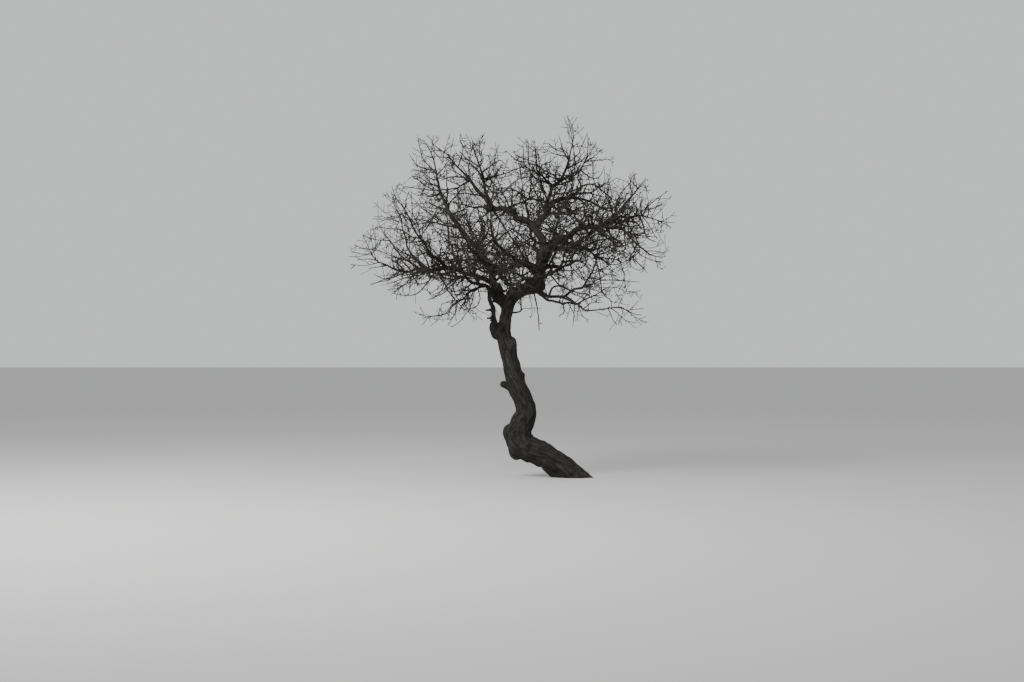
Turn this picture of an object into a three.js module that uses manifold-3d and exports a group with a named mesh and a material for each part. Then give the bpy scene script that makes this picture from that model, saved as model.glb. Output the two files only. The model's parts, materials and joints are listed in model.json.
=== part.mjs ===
// An old dead fruit tree without leaves: a bent trunk, crooked boughs and masses of bare twigs.
// Millimetres, +Z up. The tree is seen along +Y, with +X to the right.
// The origin is the middle of the flat cut at ground level, so the trunk leans and bends away from it.
import * as THREE from "three";
import { mergeVertices } from "three/addons/utils/BufferGeometryUtils.js";
import Module from "manifold-3d";

const wasm = await Module();
wasm.setup();

// Driving dimensions
const GAP = 0.3; // between a limb and what it grows from
const GROUND = { half: 2000, depth: 1000 }; // the block that cuts the trunk's foot flat
const TRUNK_STEPS = 2; // rings between two stations of the trunk
const BOUGH_STEP = 155; // about how far apart a bough's rings are
const TENSION = 0.5; // how tightly a limb bends round its stations
const TRUNK_SIDES = 16;
const THICK_BOUGH = 40; // root radius from which a bough gets more sides
const BOUGH_SIDES = { thick: 8, thin: 5 };
const STUB_SIDES = 6;
const SNAG_TAPER = 0.6; // a snag's tip radius as a share of its root radius
const TAPER_POWER = 0.85;
// A collar widens a bough where it leaves its parent, up to a share of the parent's own radius
const COLLAR = { swell: 0.35, run: 1.1, most: 0.92 };
// Crookedness between stations: share of the radius, its limit, wavelength and its change by axis
const WANDER = { share: 0.9, most: 24, wave: 430, spread: 0.37 };
const FLARE = { swell: 0.08, height: 130, lobes: 5, depth: 0.07, turn: 0.6 }; // root flare at the foot
const FLUTES = { count: 3, depth: 0.05, twist: 2.2 }; // shallow ribs that wind up the trunk
const SEEDS = { bough: 101, leader: 501 }; // of the first bough and the first leading shoot
const FULL_TURN = 2 * Math.PI;
const GOLDEN_TURN = THREE.MathUtils.degToRad(137.5);
const UP = new THREE.Vector3(0, 0, 1);
const SIDEWAYS = new THREE.Vector3(1, 0, 0);
const STEEP = 0.9; // a heading's rise from which its ring is set out from SIDEWAYS, not from UP
const SLANTED = new THREE.Vector3(0.31, 0.83, 0.46); // a direction that hardly any shoot runs along
const MIDDLE = 1e-6; // how near its axis a vertex of a unit cylinder counts as the middle of a cap

// The trunk's stations: place in x, y and z, and radius
const TRUNK = [
  { at: [260, 0, -220], radius: 170 },
  { at: [-100, 0, 95], radius: 178 },
  { at: [-390, 10, 300], radius: 170 },
  { at: [-665, 30, 420], radius: 184 },
  { at: [-800, 40, 580], radius: 192 },
  { at: [-742, 30, 770], radius: 158 },
  { at: [-672, 0, 930], radius: 148 },
  { at: [-703, -10, 1090], radius: 138 },
  { at: [-790, -30, 1280], radius: 133 },
  { at: [-862, -10, 1490], radius: 126 },
  { at: [-922, 0, 1730], radius: 116 },
  { at: [-980, 10, 1930], radius: 112 },
  { at: [-1005, 10, 2090], radius: 102 },
  { at: [-985, 0, 2250], radius: 86 },
  { at: [-957, 0, 2390], radius: 80 },
  { at: [-938, -10, 2520], radius: 84 },
  { at: [-915, -25, 2605], radius: 70 },
];

// Burls and old wounds fused to the trunk: middle, half sizes in x, y and z
const TRUNK_BURLS = [
  { at: [-885, 0, 1915], half: [72, 84, 110] },
  { at: [-1163, -20, 2170], half: [52, 60, 85] },
  { at: [-1112, 0, 2090], half: [78, 74, 95] },
  { at: [-905, 50, 640], half: [112, 130, 130] },
  { at: [-825, 40, 385], half: [100, 122, 138] },
  { at: [-745, -15, 1478], half: [42, 36, 40] },
  { at: [-1010, -42, 1345], half: [46, 48, 44] },
];

// Short dead stub on the trunk: root, tip, root radius, tip radius
const TRUNK_STUBS = [
  { from: [-890, -20, 1300], to: [-1000, -45, 1342], girth: [70, 36] },
];

// Boughs in growing order. Each leaves its parent at a share of the parent's length, passes
// its stations and ends at the last one. Girth is the radius at the root and at the tip.
const BOUGHS = {
  right_main: {
    from: "trunk", at: 0.95, girth: [96, 62],
    via: [[-780, -40, 2700], [-600, -70, 2740], [-500, -90, 2890], [-450, -70, 3100], [-430, -60, 3300]],
  },
  left_main: {
    from: "trunk", at: 0.91, girth: [60, 11],
    via: [
      [-1090, 40, 2680], [-1150, 90, 2860], [-1220, 140, 3080], [-1370, 230, 3310],
      [-1620, 390, 3600], [-1850, 580, 3950], [-1980, 720, 4300], [-2040, 810, 4590],
    ],
  },
  left_prop: {
    from: "trunk", at: 0.72, girth: [36, 12],
    via: [
      [-1136, -30, 2250], [-1168, -70, 2390], [-1176, -130, 2550], [-1262, -230, 2740],
      [-1430, -380, 2810], [-1690, -580, 2880], [-1970, -750, 2910],
    ],
  },
  left_level: {
    from: "left_main", at: 0.165, girth: [36, 11],
    via: [
      [-1270, 30, 2860], [-1570, 0, 2970], [-1820, -60, 3020],
      [-2120, -120, 3010], [-2440, -170, 2970], [-2690, -200, 3060],
    ],
  },
  left_droop: {
    from: "left_prop", at: 0.5, girth: [16, 8],
    via: [[-1400, -400, 2710], [-1580, -550, 2570], [-1750, -720, 2410]],
  },
  left_riser_near: {
    from: "left_level", at: 0.41, girth: [24, 10],
    via: [[-1880, -320, 3070], [-2040, -580, 3200], [-2160, -840, 3380], [-2280, -1020, 3600]],
  },
  left_riser_mid: {
    from: "left_level", at: 0.32, girth: [20, 9],
    via: [[-1690, 170, 3140], [-1800, 440, 3400], [-1850, 700, 3710]],
  },
  left_riser_far: {
    from: "left_level", at: 0.62, girth: [20, 8],
    via: [[-2310, 120, 3200], [-2440, 320, 3410], [-2520, 520, 3710]],
  },
  centre_far: {
    from: "right_main", at: 0.97, girth: [58, 15],
    via: [
      [-460, 30, 3470], [-560, 140, 3640], [-720, 260, 3750], [-910, 410, 3900],
      [-1200, 580, 4000], [-1390, 720, 4250], [-1640, 840, 4550],
    ],
  },
  right_upper: {
    from: "right_main", at: 0.93, girth: [52, 14],
    via: [
      [-280, -140, 3370], [-100, -260, 3480], [110, -380, 3560], [350, -490, 3610],
      [510, -580, 3640], [590, -640, 3760], [770, -720, 3960],
    ],
  },
  top_left: {
    from: "centre_far", at: 0.62, girth: [26, 12],
    via: [[-1250, 440, 4140], [-1310, 290, 4370], [-1370, 140, 4570]],
  },
  top_right: {
    from: "centre_far", at: 0.2, girth: [46, 16],
    via: [[-370, 170, 3880], [-240, 260, 4020], [-70, 380, 4110], [160, 580, 4190]],
  },
  leader: {
    from: "top_right", at: 0.25, girth: [32, 10],
    via: [[-390, 30, 4010], [-260, -60, 4200], [-190, -120, 4330], [-80, -140, 4490], [-40, -140, 4690]],
  },
  top_centre: {
    from: "leader", at: 0.46, girth: [18, 9],
    via: [[-380, -200, 4270], [-510, -380, 4370], [-540, -490, 4550]],
  },
  top_right_up: {
    from: "leader", at: 0.5, girth: [18, 9],
    via: [[-80, -60, 4350], [60, 60, 4430], [170, 170, 4580]],
  },
  right_level: {
    from: "right_upper", at: 0.69, girth: [26, 10],
    via: [[560, -330, 3690], [730, -60, 3760], [960, 140, 3800], [1120, 300, 3800]],
  },
  right_droop: {
    from: "right_upper", at: 0.66, girth: [24, 10],
    via: [[660, -810, 3490], [790, -960, 3370], [920, -1040, 3220]],
  },
  right_far: {
    from: "right_main", at: 0.86, girth: [32, 10],
    via: [[-240, 320, 3330], [10, 700, 3440], [270, 1040, 3380], [520, 1330, 3250]],
  },
  front_high: {
    from: "right_main", at: 0.82, girth: [32, 10],
    via: [[-390, -580, 3240], [-320, -1100, 3390], [-280, -1510, 3540]],
  },
  right_stub: {
    from: "right_main", at: 0.72, girth: [31, 25],
    via: [[-350, -140, 3020], [-165, -230, 3030]],
  },
  back_high: {
    from: "right_main", at: 0.75, girth: [36, 11],
    via: [[-530, 500, 3340], [-590, 1020, 3640], [-650, 1400, 4020]],
  },
  back_right_low: {
    from: "right_main", at: 0.6, girth: [31, 10],
    via: [[-350, 520, 2960], [-120, 1130, 3110], [100, 1620, 3240]],
  },
  left_stub: {
    from: "right_main", at: 0.64, girth: [50, 44],
    via: [[-600, -130, 3010], [-715, -165, 3062], [-826, -190, 3095]],
  },
  centre_near: {
    from: "left_stub", at: 0.7, girth: [26, 11],
    via: [[-860, -480, 3140], [-1010, -800, 3230], [-1140, -1110, 3350], [-1170, -1330, 3560]],
  },
  right_low: {
    from: "right_main", at: 0.42, girth: [24, 10],
    via: [[-410, -190, 2640], [-260, -380, 2590], [-40, -670, 2650], [170, -900, 2800], [270, -1040, 3040]],
  },
  right_low_out: {
    from: "right_low", at: 0.39, girth: [15, 7],
    via: [[-40, -740, 2510], [170, -990, 2380], [480, -1250, 2400]],
  },
  right_low_far: {
    from: "right_main", at: 0.38, girth: [20, 8],
    via: [[-370, 260, 2590], [-170, 580, 2560], [120, 960, 2570], [470, 1330, 2750]],
  },
  front_low: {
    from: "right_main", at: 0.3, girth: [32, 10],
    via: [[-650, -610, 2810], [-760, -1220, 2840], [-870, -1710, 2860]],
  },
  back_low: {
    from: "right_main", at: 0.2, girth: [36, 10],
    via: [[-920, 450, 2800], [-1040, 1070, 2970], [-1160, 1600, 3110]],
  },
  front_left: {
    from: "left_main", at: 0.23, girth: [31, 10],
    via: [[-1220, -420, 3060], [-1350, -1040, 3110], [-1480, -1480, 3260]],
  },
  back_left: {
    from: "left_main", at: 0.28, girth: [33, 10],
    via: [[-1370, 680, 3320], [-1530, 1130, 3520], [-1730, 1550, 3840]],
  },
};

// Burls on the boughs: share of the bough's length, sideways shift and half size
const BOUGH_BURLS = {
  right_main: [
    { at: 0.4, shift: [10, -20, 10], half: [128, 118, 128] },
    { at: 0.5, shift: [45, 10, -50], half: [88, 90, 84] },
    { at: 0.42, shift: [90, -40, -90], half: [46, 50, 44] },
    { at: 0.78, shift: [25, -10, -10], half: [72, 76, 88] },
  ],
  left_main: [{ at: 0.1, shift: [-25, 0, 0], half: [88, 84, 140] }],
  left_stub: [{ at: 0.9, shift: [0, 0, -8], half: [54, 50, 58] }],
  centre_far: [{ at: 0.63, shift: [-20, -40, -20], half: [66, 60, 64] }],
};

// Snags: short broken stubs on a bough, with share of its length, length, heading and root radius
const SNAGS = {
  left_prop: [
    { at: 0.257, heading: [-1, -0.1, 0.02], length: 115, radius: 18 },
    { at: 0.189, heading: [-1, -0.25, -0.02], length: 108, radius: 17 },
    { at: 0.163, heading: [-0.9, -0.5, 0.1], length: 80, radius: 14 },
  ],
  left_main: [{ at: 0.3, heading: [0.5, -0.6, 0.7], length: 100, radius: 17 }],
  centre_far: [{ at: 0.34, heading: [0.1, -0.8, 0.6], length: 110, radius: 18 }],
  right_upper: [{ at: 0.515, heading: [-0.1, -0.4, 0.9], length: 115, radius: 24 }],
};

// Twig masses, one at the tip of a bough: the furthest tip, and how wide the twigs spread
const MASSES = {
  left_main: { reach: [-2300, 900, 5060], spread: 460 },
  left_prop: { reach: [-2500, -1230, 2630], spread: 400 },
  left_level: { reach: [-3040, -140, 3500], spread: 540 },
  left_droop: { reach: [-2160, -1160, 2320], spread: 270 },
  left_riser_near: { reach: [-2520, -1280, 4060], spread: 430 },
  left_riser_mid: { reach: [-2280, 1300, 4200], spread: 520 },
  left_riser_far: { reach: [-2900, 870, 3790], spread: 450 },
  centre_far: { reach: [-2120, 1160, 5040], spread: 400 },
  right_upper: { reach: [960, -900, 4190], spread: 450 },
  top_left: { reach: [-1460, -120, 4870], spread: 500 },
  top_right: { reach: [640, 1090, 4510], spread: 520 },
  leader: { reach: [-85, -120, 5215], spread: 270 },
  top_centre: { reach: [-560, -640, 4780], spread: 520 },
  top_right_up: { reach: [350, 260, 4910], spread: 420 },
  right_level: { reach: [1520, 435, 3730], spread: 440 },
  right_droop: { reach: [1200, -1300, 3100], spread: 340 },
  right_far: { reach: [1130, 1810, 3300], spread: 450 },
  front_high: { reach: [-230, -2030, 3970], spread: 620 },
  back_high: { reach: [-760, 1950, 4790], spread: 640 },
  back_right_low: { reach: [430, 2200, 3640], spread: 580 },
  centre_near: { reach: [-1300, -1620, 4090], spread: 560 },
  right_low: { reach: [600, -1520, 3300], spread: 520 },
  right_low_out: { reach: [880, -1620, 2200], spread: 300 },
  right_low_far: { reach: [1100, 1740, 2760], spread: 420 },
  front_low: { reach: [-980, -2320, 2960], spread: 540 },
  back_low: { reach: [-1390, 2250, 3280], spread: 540 },
  front_left: { reach: [-1690, -2100, 3600], spread: 620 },
  back_left: { reach: [-2140, 2080, 4370], spread: 620 },
};

// The growing rule for a mass: one leading shoot, its side twigs and their spurs. Count is how many
// grow on each parent, from the first to the last share of its length, and lean is their angle to
// it in degrees. Share is their length as a share of the mass's spread, or of their parent's
// length. Rise bends each step upwards and crook bends it at random. Thinning is their root radius
// as a share of the parent's radius there, and tip is their radius at the end.
const LEADER = { sides: 5, steps: 4, tip: 4, crook: 0.16, steer: 0.5 };
const ORDERS = [
  {
    count: 6, sides: 3, steps: 2, first: 0.08, last: 0.95, lean: [38, 72],
    share: 0.95, rise: 0.14, crook: 0.2, thinning: 0.68, tip: 2.8,
  },
  {
    count: 2, sides: 3, steps: 1, first: 0.25, last: 0.92, lean: [40, 75],
    share: 0.48, rise: 0.1, crook: 0, thinning: 0.5, tip: 0,
  },
];
// A shoot's place along its parent and its turn shift at random, and so does its length, which
// also falls from the parent's root to its tip
const HABIT = { place: 0.6, turn: 0.9, shortest: 0.65, longest: 1.15, atRoot: 1.12, atTip: 0.5 };
const SHORTER = [1, 0.75, 0.5]; // shares of its length that a twig is tried at before it is skipped
// Clear space to other masses and to limbs, the shortest twig, and how far past the leading
// shoot's ends its mass may reach
const ROOM = { between: 16, limb: 6, least: 70, ahead: 1.04 };
const SAMPLES = 4; // places tested along each step of a twig

// A repeatable stream of numbers from 0 to 1
function stream(seed) {
  let state = seed >>> 0;
  return () => {
    state = (state + 0x6d2b79f5) >>> 0;
    let mixed = Math.imul(state ^ (state >>> 15), state | 1);
    mixed ^= mixed + Math.imul(mixed ^ (mixed >>> 7), mixed | 61);
    return ((mixed ^ (mixed >>> 14)) >>> 0) / 4294967296;
  };
}

const childSeed = (seed, index) => (Math.imul(seed, 31) + index * 7919 + 17) >>> 0;

const vector = (xyz) => new THREE.Vector3(...xyz);

// A random direction and size from -0.5 to 0.5 along each axis
const jolt = (next) => vector([next() - 0.5, next() - 0.5, next() - 0.5]);

const smoothCurve = (stations) => new THREE.CatmullRomCurve3(stations, false, "catmullrom", TENSION);

// A path is a list of points with a radius at each. This is the step that a share of the path
// falls in, and how far along that step it falls.
function stepAt(path, share) {
  const place = THREE.MathUtils.clamp(share, 0, 1) * (path.points.length - 1);
  const index = Math.min(Math.floor(place), path.points.length - 2);
  return { index, rest: place - index };
}

function pathPoint(path, share) {
  const { index, rest } = stepAt(path, share);
  return path.points[index].clone().lerp(path.points[index + 1], rest);
}

function pathRadius(path, share) {
  const { index, rest } = stepAt(path, share);
  return THREE.MathUtils.lerp(path.radii[index], path.radii[index + 1], rest);
}

function pathHeading(path, share) {
  const { index } = stepAt(path, share);
  return path.points[index + 1].clone().sub(path.points[index]).normalize();
}

// How far along the path each of its points lies
function runLengths(points) {
  let run = 0;
  return points.map((point, i) => {
    if (i) run += point.distanceTo(points[i - 1]);
    return run;
  });
}

// A smooth course through the stations, with a seeded wander that fades out at both ends
function coursePoints(stations, seed, radius) {
  const curve = smoothCurve(stations);
  const count = Math.round(curve.getLength() / BOUGH_STEP);
  const points = curve.getSpacedPoints(count);
  const next = stream(seed);
  const phases = [0, 1, 2].map(() => next() * FULL_TURN);
  const swing = Math.min(WANDER.share * radius, WANDER.most);
  const runs = runLengths(points);
  return points.map((point, i) => {
    const fade = Math.sin((Math.PI * i) / count);
    const wave = (FULL_TURN * runs[i]) / WANDER.wave;
    const shift = phases.map((phase, axis) => Math.sin(wave * (1 + WANDER.spread * axis) + phase));
    return point.clone().addScaledVector(vector(shift), swing * fade);
  });
}

// A closed tube: a cylinder bent along the path, its rings sized and shaped as they go. It ends in
// a point where the last radius is nothing.
function tube(path, sides, shape = () => 1, swell = 0) {
  const rings = path.points.length - 1;
  const geometry = new THREE.CylinderGeometry(path.radii[rings] > 0 ? 1 : 0, 1, 1, sides, rings);
  const headings = path.points.map((_, i) => {
    const before = path.points[Math.max(i - 1, 0)];
    const after = path.points[Math.min(i + 1, rings)];
    return after.clone().sub(before).normalize();
  });
  const across = Math.abs(headings[0].z) < STEEP ? UP : SIDEWAYS;
  const normals = [across.clone().projectOnPlane(headings[0]).normalize()];
  for (let i = 1; i <= rings; i++) {
    normals.push(normals[i - 1].clone().projectOnPlane(headings[i]).normalize());
  }
  const position = geometry.getAttribute("position");
  const local = new THREE.Vector3();
  for (let v = 0; v < position.count; v++) {
    local.fromBufferAttribute(position, v);
    const ring = Math.round((local.y + 0.5) * rings);
    const side = headings[ring].clone().cross(normals[ring]);
    const angle = Math.atan2(local.x, local.z);
    const middle = Math.hypot(local.x, local.z) < MIDDLE;
    const radius = middle ? 0 : path.radii[ring] * shape(path.points[ring], ring / rings, angle) + swell;
    const end = ring === 0 ? -swell : ring === rings ? swell : 0;
    const place = path.points[ring].clone().addScaledVector(headings[ring], end);
    place.addScaledVector(normals[ring], Math.sin(angle) * radius);
    place.addScaledVector(side, -Math.cos(angle) * radius);
    position.setXYZ(v, place.x, place.y, place.z);
  }
  return geometry;
}

function ellipsoid(at, half) {
  const geometry = new THREE.IcosahedronGeometry(1, 1);
  return geometry.scale(...half).translate(...at);
}

// Between a three.js geometry and a solid that can be joined and cut
function solidOf(geometry) {
  const bare = new THREE.BufferGeometry();
  bare.setAttribute("position", geometry.getAttribute("position"));
  if (geometry.index) bare.setIndex(geometry.index);
  const merged = mergeVertices(bare, 1e-3);
  return new wasm.Manifold(
    new wasm.Mesh({
      numProp: 3,
      vertProperties: new Float32Array(merged.getAttribute("position").array),
      triVerts: new Uint32Array(merged.index.array),
    }),
  );
}

function geometryOf(solid) {
  const made = solid.getMesh();
  const geometry = new THREE.BufferGeometry();
  geometry.setAttribute("position", new THREE.BufferAttribute(new Float32Array(made.vertProperties), 3));
  geometry.setIndex(new THREE.BufferAttribute(new Uint32Array(made.triVerts), 1));
  const faceted = geometry.toNonIndexed();
  faceted.computeVertexNormals();
  return faceted;
}

const largest = (solid) =>
  solid.decompose().reduce((best, piece) => (piece.volume() > best.volume() ? piece : best));

// The foot widens into root lobes, and shallow ribs wind up the rest of the trunk
function trunkShape(point, share, angle) {
  const low = Math.exp(-Math.max(point.z, 0) / FLARE.height);
  const lobes = FLARE.depth * Math.cos(FLARE.lobes * angle + FLARE.turn);
  const ribs = FLUTES.depth * Math.sin(FLUTES.count * angle + FLUTES.twist * FULL_TURN * share);
  return (1 + ribs) * (1 + low * (FLARE.swell + lobes));
}

function trunkPath() {
  const stations = { points: TRUNK.map((s) => vector(s.at)), radii: TRUNK.map((s) => s.radius) };
  const count = (TRUNK.length - 1) * TRUNK_STEPS;
  const points = smoothCurve(stations.points).getPoints(count);
  const radii = points.map((_, i) => pathRadius(stations, i / count));
  return { points, radii };
}

function makeTrunk(path, swell) {
  const parts = [solidOf(tube(path, TRUNK_SIDES, trunkShape, swell))];
  for (const burl of TRUNK_BURLS) parts.push(solidOf(ellipsoid(burl.at, burl.half.map((h) => h + swell))));
  for (const stub of TRUNK_STUBS) {
    const points = [vector(stub.from), vector(stub.to)];
    parts.push(solidOf(tube({ points, radii: stub.girth }, STUB_SIDES, undefined, swell)));
  }
  const block = new THREE.BoxGeometry(GROUND.half * 2, GROUND.half * 2, GROUND.depth);
  block.translate(0, 0, -GROUND.depth / 2);
  return largest(wasm.Manifold.union(parts).subtract(solidOf(block)));
}

// A bough's path starts on its parent's middle line and narrows from root to tip
function boughPath(bough, parent, seed) {
  const root = pathPoint(parent, bough.at);
  const points = coursePoints([root, ...bough.via.map(vector)], seed, bough.girth[0]);
  const parentRadius = pathRadius(parent, bough.at);
  const [thick, thin] = bough.girth;
  const runs = runLengths(points);
  const radii = runs.map((run) => {
    const taper = THREE.MathUtils.lerp(thin, thick, Math.pow(1 - run / runs.at(-1), TAPER_POWER));
    const outside = Math.max(run - parentRadius, 0);
    const collar = COLLAR.swell * Math.exp(-outside / (COLLAR.run * thick));
    return Math.min(taper * (1 + collar), Math.max(parentRadius * COLLAR.most, taper));
  });
  return { points, radii };
}

function makeBough(name, path, swell) {
  const sides = BOUGHS[name].girth[0] >= THICK_BOUGH ? BOUGH_SIDES.thick : BOUGH_SIDES.thin;
  const parts = [solidOf(tube(path, sides, undefined, swell))];
  for (const burl of BOUGH_BURLS[name] ?? []) {
    const at = pathPoint(path, burl.at).add(vector(burl.shift));
    parts.push(solidOf(ellipsoid(at.toArray(), burl.half.map((h) => h + swell))));
  }
  for (const snag of SNAGS[name] ?? []) {
    const root = pathPoint(path, snag.at);
    const tip = root.clone().addScaledVector(vector(snag.heading).normalize(), snag.length);
    const snagPath = { points: [root, tip], radii: [snag.radius, snag.radius * SNAG_TAPER] };
    parts.push(solidOf(tube(snagPath, BOUGH_SIDES.thin, undefined, swell)));
  }
  return wasm.Manifold.union(parts);
}

// The leading shoot of a mass goes on from its bough's tip and steers to the mass's furthest tip
function leaderPath(bough, mass, seed) {
  const next = stream(seed);
  const heading = pathHeading(bough, 1);
  const start = pathPoint(bough, 1).addScaledVector(heading, GAP);
  const goal = vector(mass.reach);
  const step = start.distanceTo(goal) / LEADER.steps;
  const points = [start];
  points.push(start.clone().addScaledVector(heading, step));
  for (let i = 2; i < LEADER.steps; i++) {
    const here = points[i - 1];
    const wish = goal.clone().sub(here).normalize();
    heading.lerp(wish, LEADER.steer + (1 - LEADER.steer) * (i / LEADER.steps)).normalize();
    heading.addScaledVector(jolt(next), 2 * LEADER.crook);
    points.push(here.clone().addScaledVector(heading.normalize(), step));
  }
  points.push(goal);
  const thick = pathRadius(bough, 1);
  const radii = points.map((_, i) => THREE.MathUtils.lerp(thick, LEADER.tip, i / LEADER.steps));
  return { points, radii, seed };
}

// A side shoot, placed and turned by its index, and bent upwards as it grows
function sideShoot(parent, order, index, length) {
  const seed = childSeed(parent.seed, index);
  const next = stream(seed);
  const place = (index + 0.5 + (next() - 0.5) * HABIT.place) / order.count;
  const share = THREE.MathUtils.lerp(order.first, order.last, place);
  const along = pathHeading(parent, share);
  const firstTurn = stream(parent.seed)() * FULL_TURN;
  const turn = firstTurn + index * GOLDEN_TURN + (next() - 0.5) * HABIT.turn;
  const lean = THREE.MathUtils.degToRad(THREE.MathUtils.lerp(...order.lean, next()));
  const across = SLANTED.clone().projectOnPlane(along).normalize().applyAxisAngle(along, turn);
  const heading = along.multiplyScalar(Math.cos(lean)).addScaledVector(across, Math.sin(lean));
  const drawn = THREE.MathUtils.lerp(HABIT.shortest, HABIT.longest, next());
  const full = length * drawn * THREE.MathUtils.lerp(HABIT.atRoot, HABIT.atTip, share);
  const root = pathPoint(parent, share);
  const bends = Array.from({ length: order.steps }, () => jolt(next));
  const grow = (shorter) => {
    const made = [root];
    const now = heading.clone();
    for (const bend of bends) {
      made.push(made.at(-1).clone().addScaledVector(now, (full * shorter) / order.steps));
      now.addScaledVector(UP, order.rise).addScaledVector(bend, 2 * order.crook).normalize();
    }
    return made;
  };
  const thick = pathRadius(parent, share) * order.thinning;
  const radii = bends.map((_, i) => THREE.MathUtils.lerp(thick, order.tip, i / order.steps));
  radii.push(order.tip);
  return { grow, radii, seed, full };
}

function distanceToPath(point, path) {
  const segment = new THREE.Line3();
  const near = new THREE.Vector3();
  let best = { distance: Infinity, radius: 0 };
  for (let i = 0; i + 1 < path.points.length; i++) {
    segment.set(path.points[i], path.points[i + 1]);
    const share = segment.closestPointToPointParameter(point, true);
    const distance = point.distanceTo(segment.at(share, near));
    if (distance < best.distance) best = { distance, radius: Math.max(path.radii[i], path.radii[i + 1]) };
  }
  return best;
}

// A mass keeps to the ellipsoid about its leading shoot, on its own side of the other shoots
function inOwnSpace(point, own, spread, others, limbs) {
  const axis = own.points.at(-1).clone().sub(own.points[0]);
  const middle = own.points[0].clone().addScaledVector(axis, 0.5);
  const offset = point.clone().sub(middle);
  const half = axis.length() * 0.5;
  const along = offset.dot(axis.normalize());
  const around = offset.addScaledVector(axis, -along).length();
  if ((along / (half * ROOM.ahead)) ** 2 + (around / spread) ** 2 > 1) return false;
  const home = distanceToPath(point, own).distance;
  if (others.some((other) => distanceToPath(point, other).distance < home + ROOM.between)) return false;
  return limbs.every((limb) => {
    const near = distanceToPath(point, limb);
    return near.distance > near.radius * (1 + COLLAR.swell) + ROOM.limb;
  });
}

// Whether a twig keeps inside from a little way out of its root
function staysInside(points, test) {
  for (let i = 0; i + 1 < points.length; i++) {
    for (let sample = i ? 1 : 2; sample <= SAMPLES; sample++) {
      if (!test(points[i].clone().lerp(points[i + 1], sample / SAMPLES))) return false;
    }
  }
  return true;
}

// All the twigs of one mass: side shoots on the leading shoot, and spurs on those
function growMass(leader, spread, others, limbs) {
  const test = (point) => inOwnSpace(point, leader, spread, others, limbs);
  const made = [];
  const branch = (parent, depth, length) => {
    const order = ORDERS[depth];
    for (let index = 0; index < order.count; index++) {
      const shoot = sideShoot(parent, order, index, length);
      const points = SHORTER.map(shoot.grow).find((tried) => staysInside(tried, test));
      if (!points || points[0].distanceTo(points.at(-1)) < ROOM.least) continue;
      const twig = { points, radii: shoot.radii, seed: shoot.seed, sides: order.sides };
      made.push(twig);
      if (ORDERS[depth + 1]) branch(twig, depth + 1, shoot.full * ORDERS[depth + 1].share);
    }
  };
  branch(leader, 0, spread * ORDERS[0].share);
  return made;
}

// Colours and finish of weathered bark, one for each thickness of wood
const BARK = {
  trunk: new THREE.MeshStandardMaterial({ color: 0x3a3632, roughness: 0.95, metalness: 0 }),
  bough: new THREE.MeshStandardMaterial({ color: 0x35312d, roughness: 0.92, metalness: 0 }),
  twig: new THREE.MeshStandardMaterial({ color: 0x2c2927, roughness: 0.88, metalness: 0 }),
};

function addNode(tree, name, solid, material) {
  const mesh = new THREE.Mesh(geometryOf(solid), material);
  mesh.name = name;
  tree.add(mesh);
}

function buildTree() {
  const tree = new THREE.Group();
  const paths = { trunk: trunkPath() };
  addNode(tree, "trunk", makeTrunk(paths.trunk, 0), BARK.trunk);
  const cutters = { trunk: makeTrunk(paths.trunk, GAP) };

  // Each bough is cut clear of what it grows from and of the boughs that share its fork
  Object.entries(BOUGHS).forEach(([name, bough], i) => {
    paths[name] = boughPath(bough, paths[bough.from], SEEDS.bough + i);
    const grandparent = BOUGHS[bough.from]?.from;
    const near = [bough.from, grandparent];
    const kin = Object.keys(cutters).filter(
      (other) => near.includes(other) || BOUGHS[other]?.from === bough.from,
    );
    const raw = makeBough(name, paths[name], 0);
    const clear = kin.reduce((solid, other) => solid.subtract(cutters[other]), raw);
    addNode(tree, "bough_" + name, largest(clear), BARK.bough);
    cutters[name] = makeBough(name, paths[name], GAP);
  });

  const leaders = Object.fromEntries(
    Object.entries(MASSES).map(([name, mass], i) => {
      return [name, leaderPath(paths[name], mass, SEEDS.leader + i)];
    }),
  );
  const limbs = Object.values(paths);
  for (const [name, mass] of Object.entries(MASSES)) {
    const own = leaders[name];
    const others = Object.values(leaders).filter((leader) => leader !== own);
    const twigs = growMass(own, mass.spread, others, limbs);
    const parts = [tube(own, LEADER.sides), ...twigs.map((twig) => tube(twig, twig.sides))].map(solidOf);
    addNode(tree, "twigs_" + name, largest(wasm.Manifold.union(parts)), BARK.twig);
  }
  return tree;
}

export default buildTree();
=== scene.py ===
"""An old dead fruit tree without leaves: fissured bark over a bent trunk and crooked boughs, and twigs.

Metres, +Z up. The tree is seen along +Y, with +X to the right, and its trunk is cut flat at the ground.
"""

import json
import math

import bpy
import numpy as np
from bpy.props import FloatProperty, FloatVectorProperty, PointerProperty
from mathutils import Matrix, Vector, noise

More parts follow.
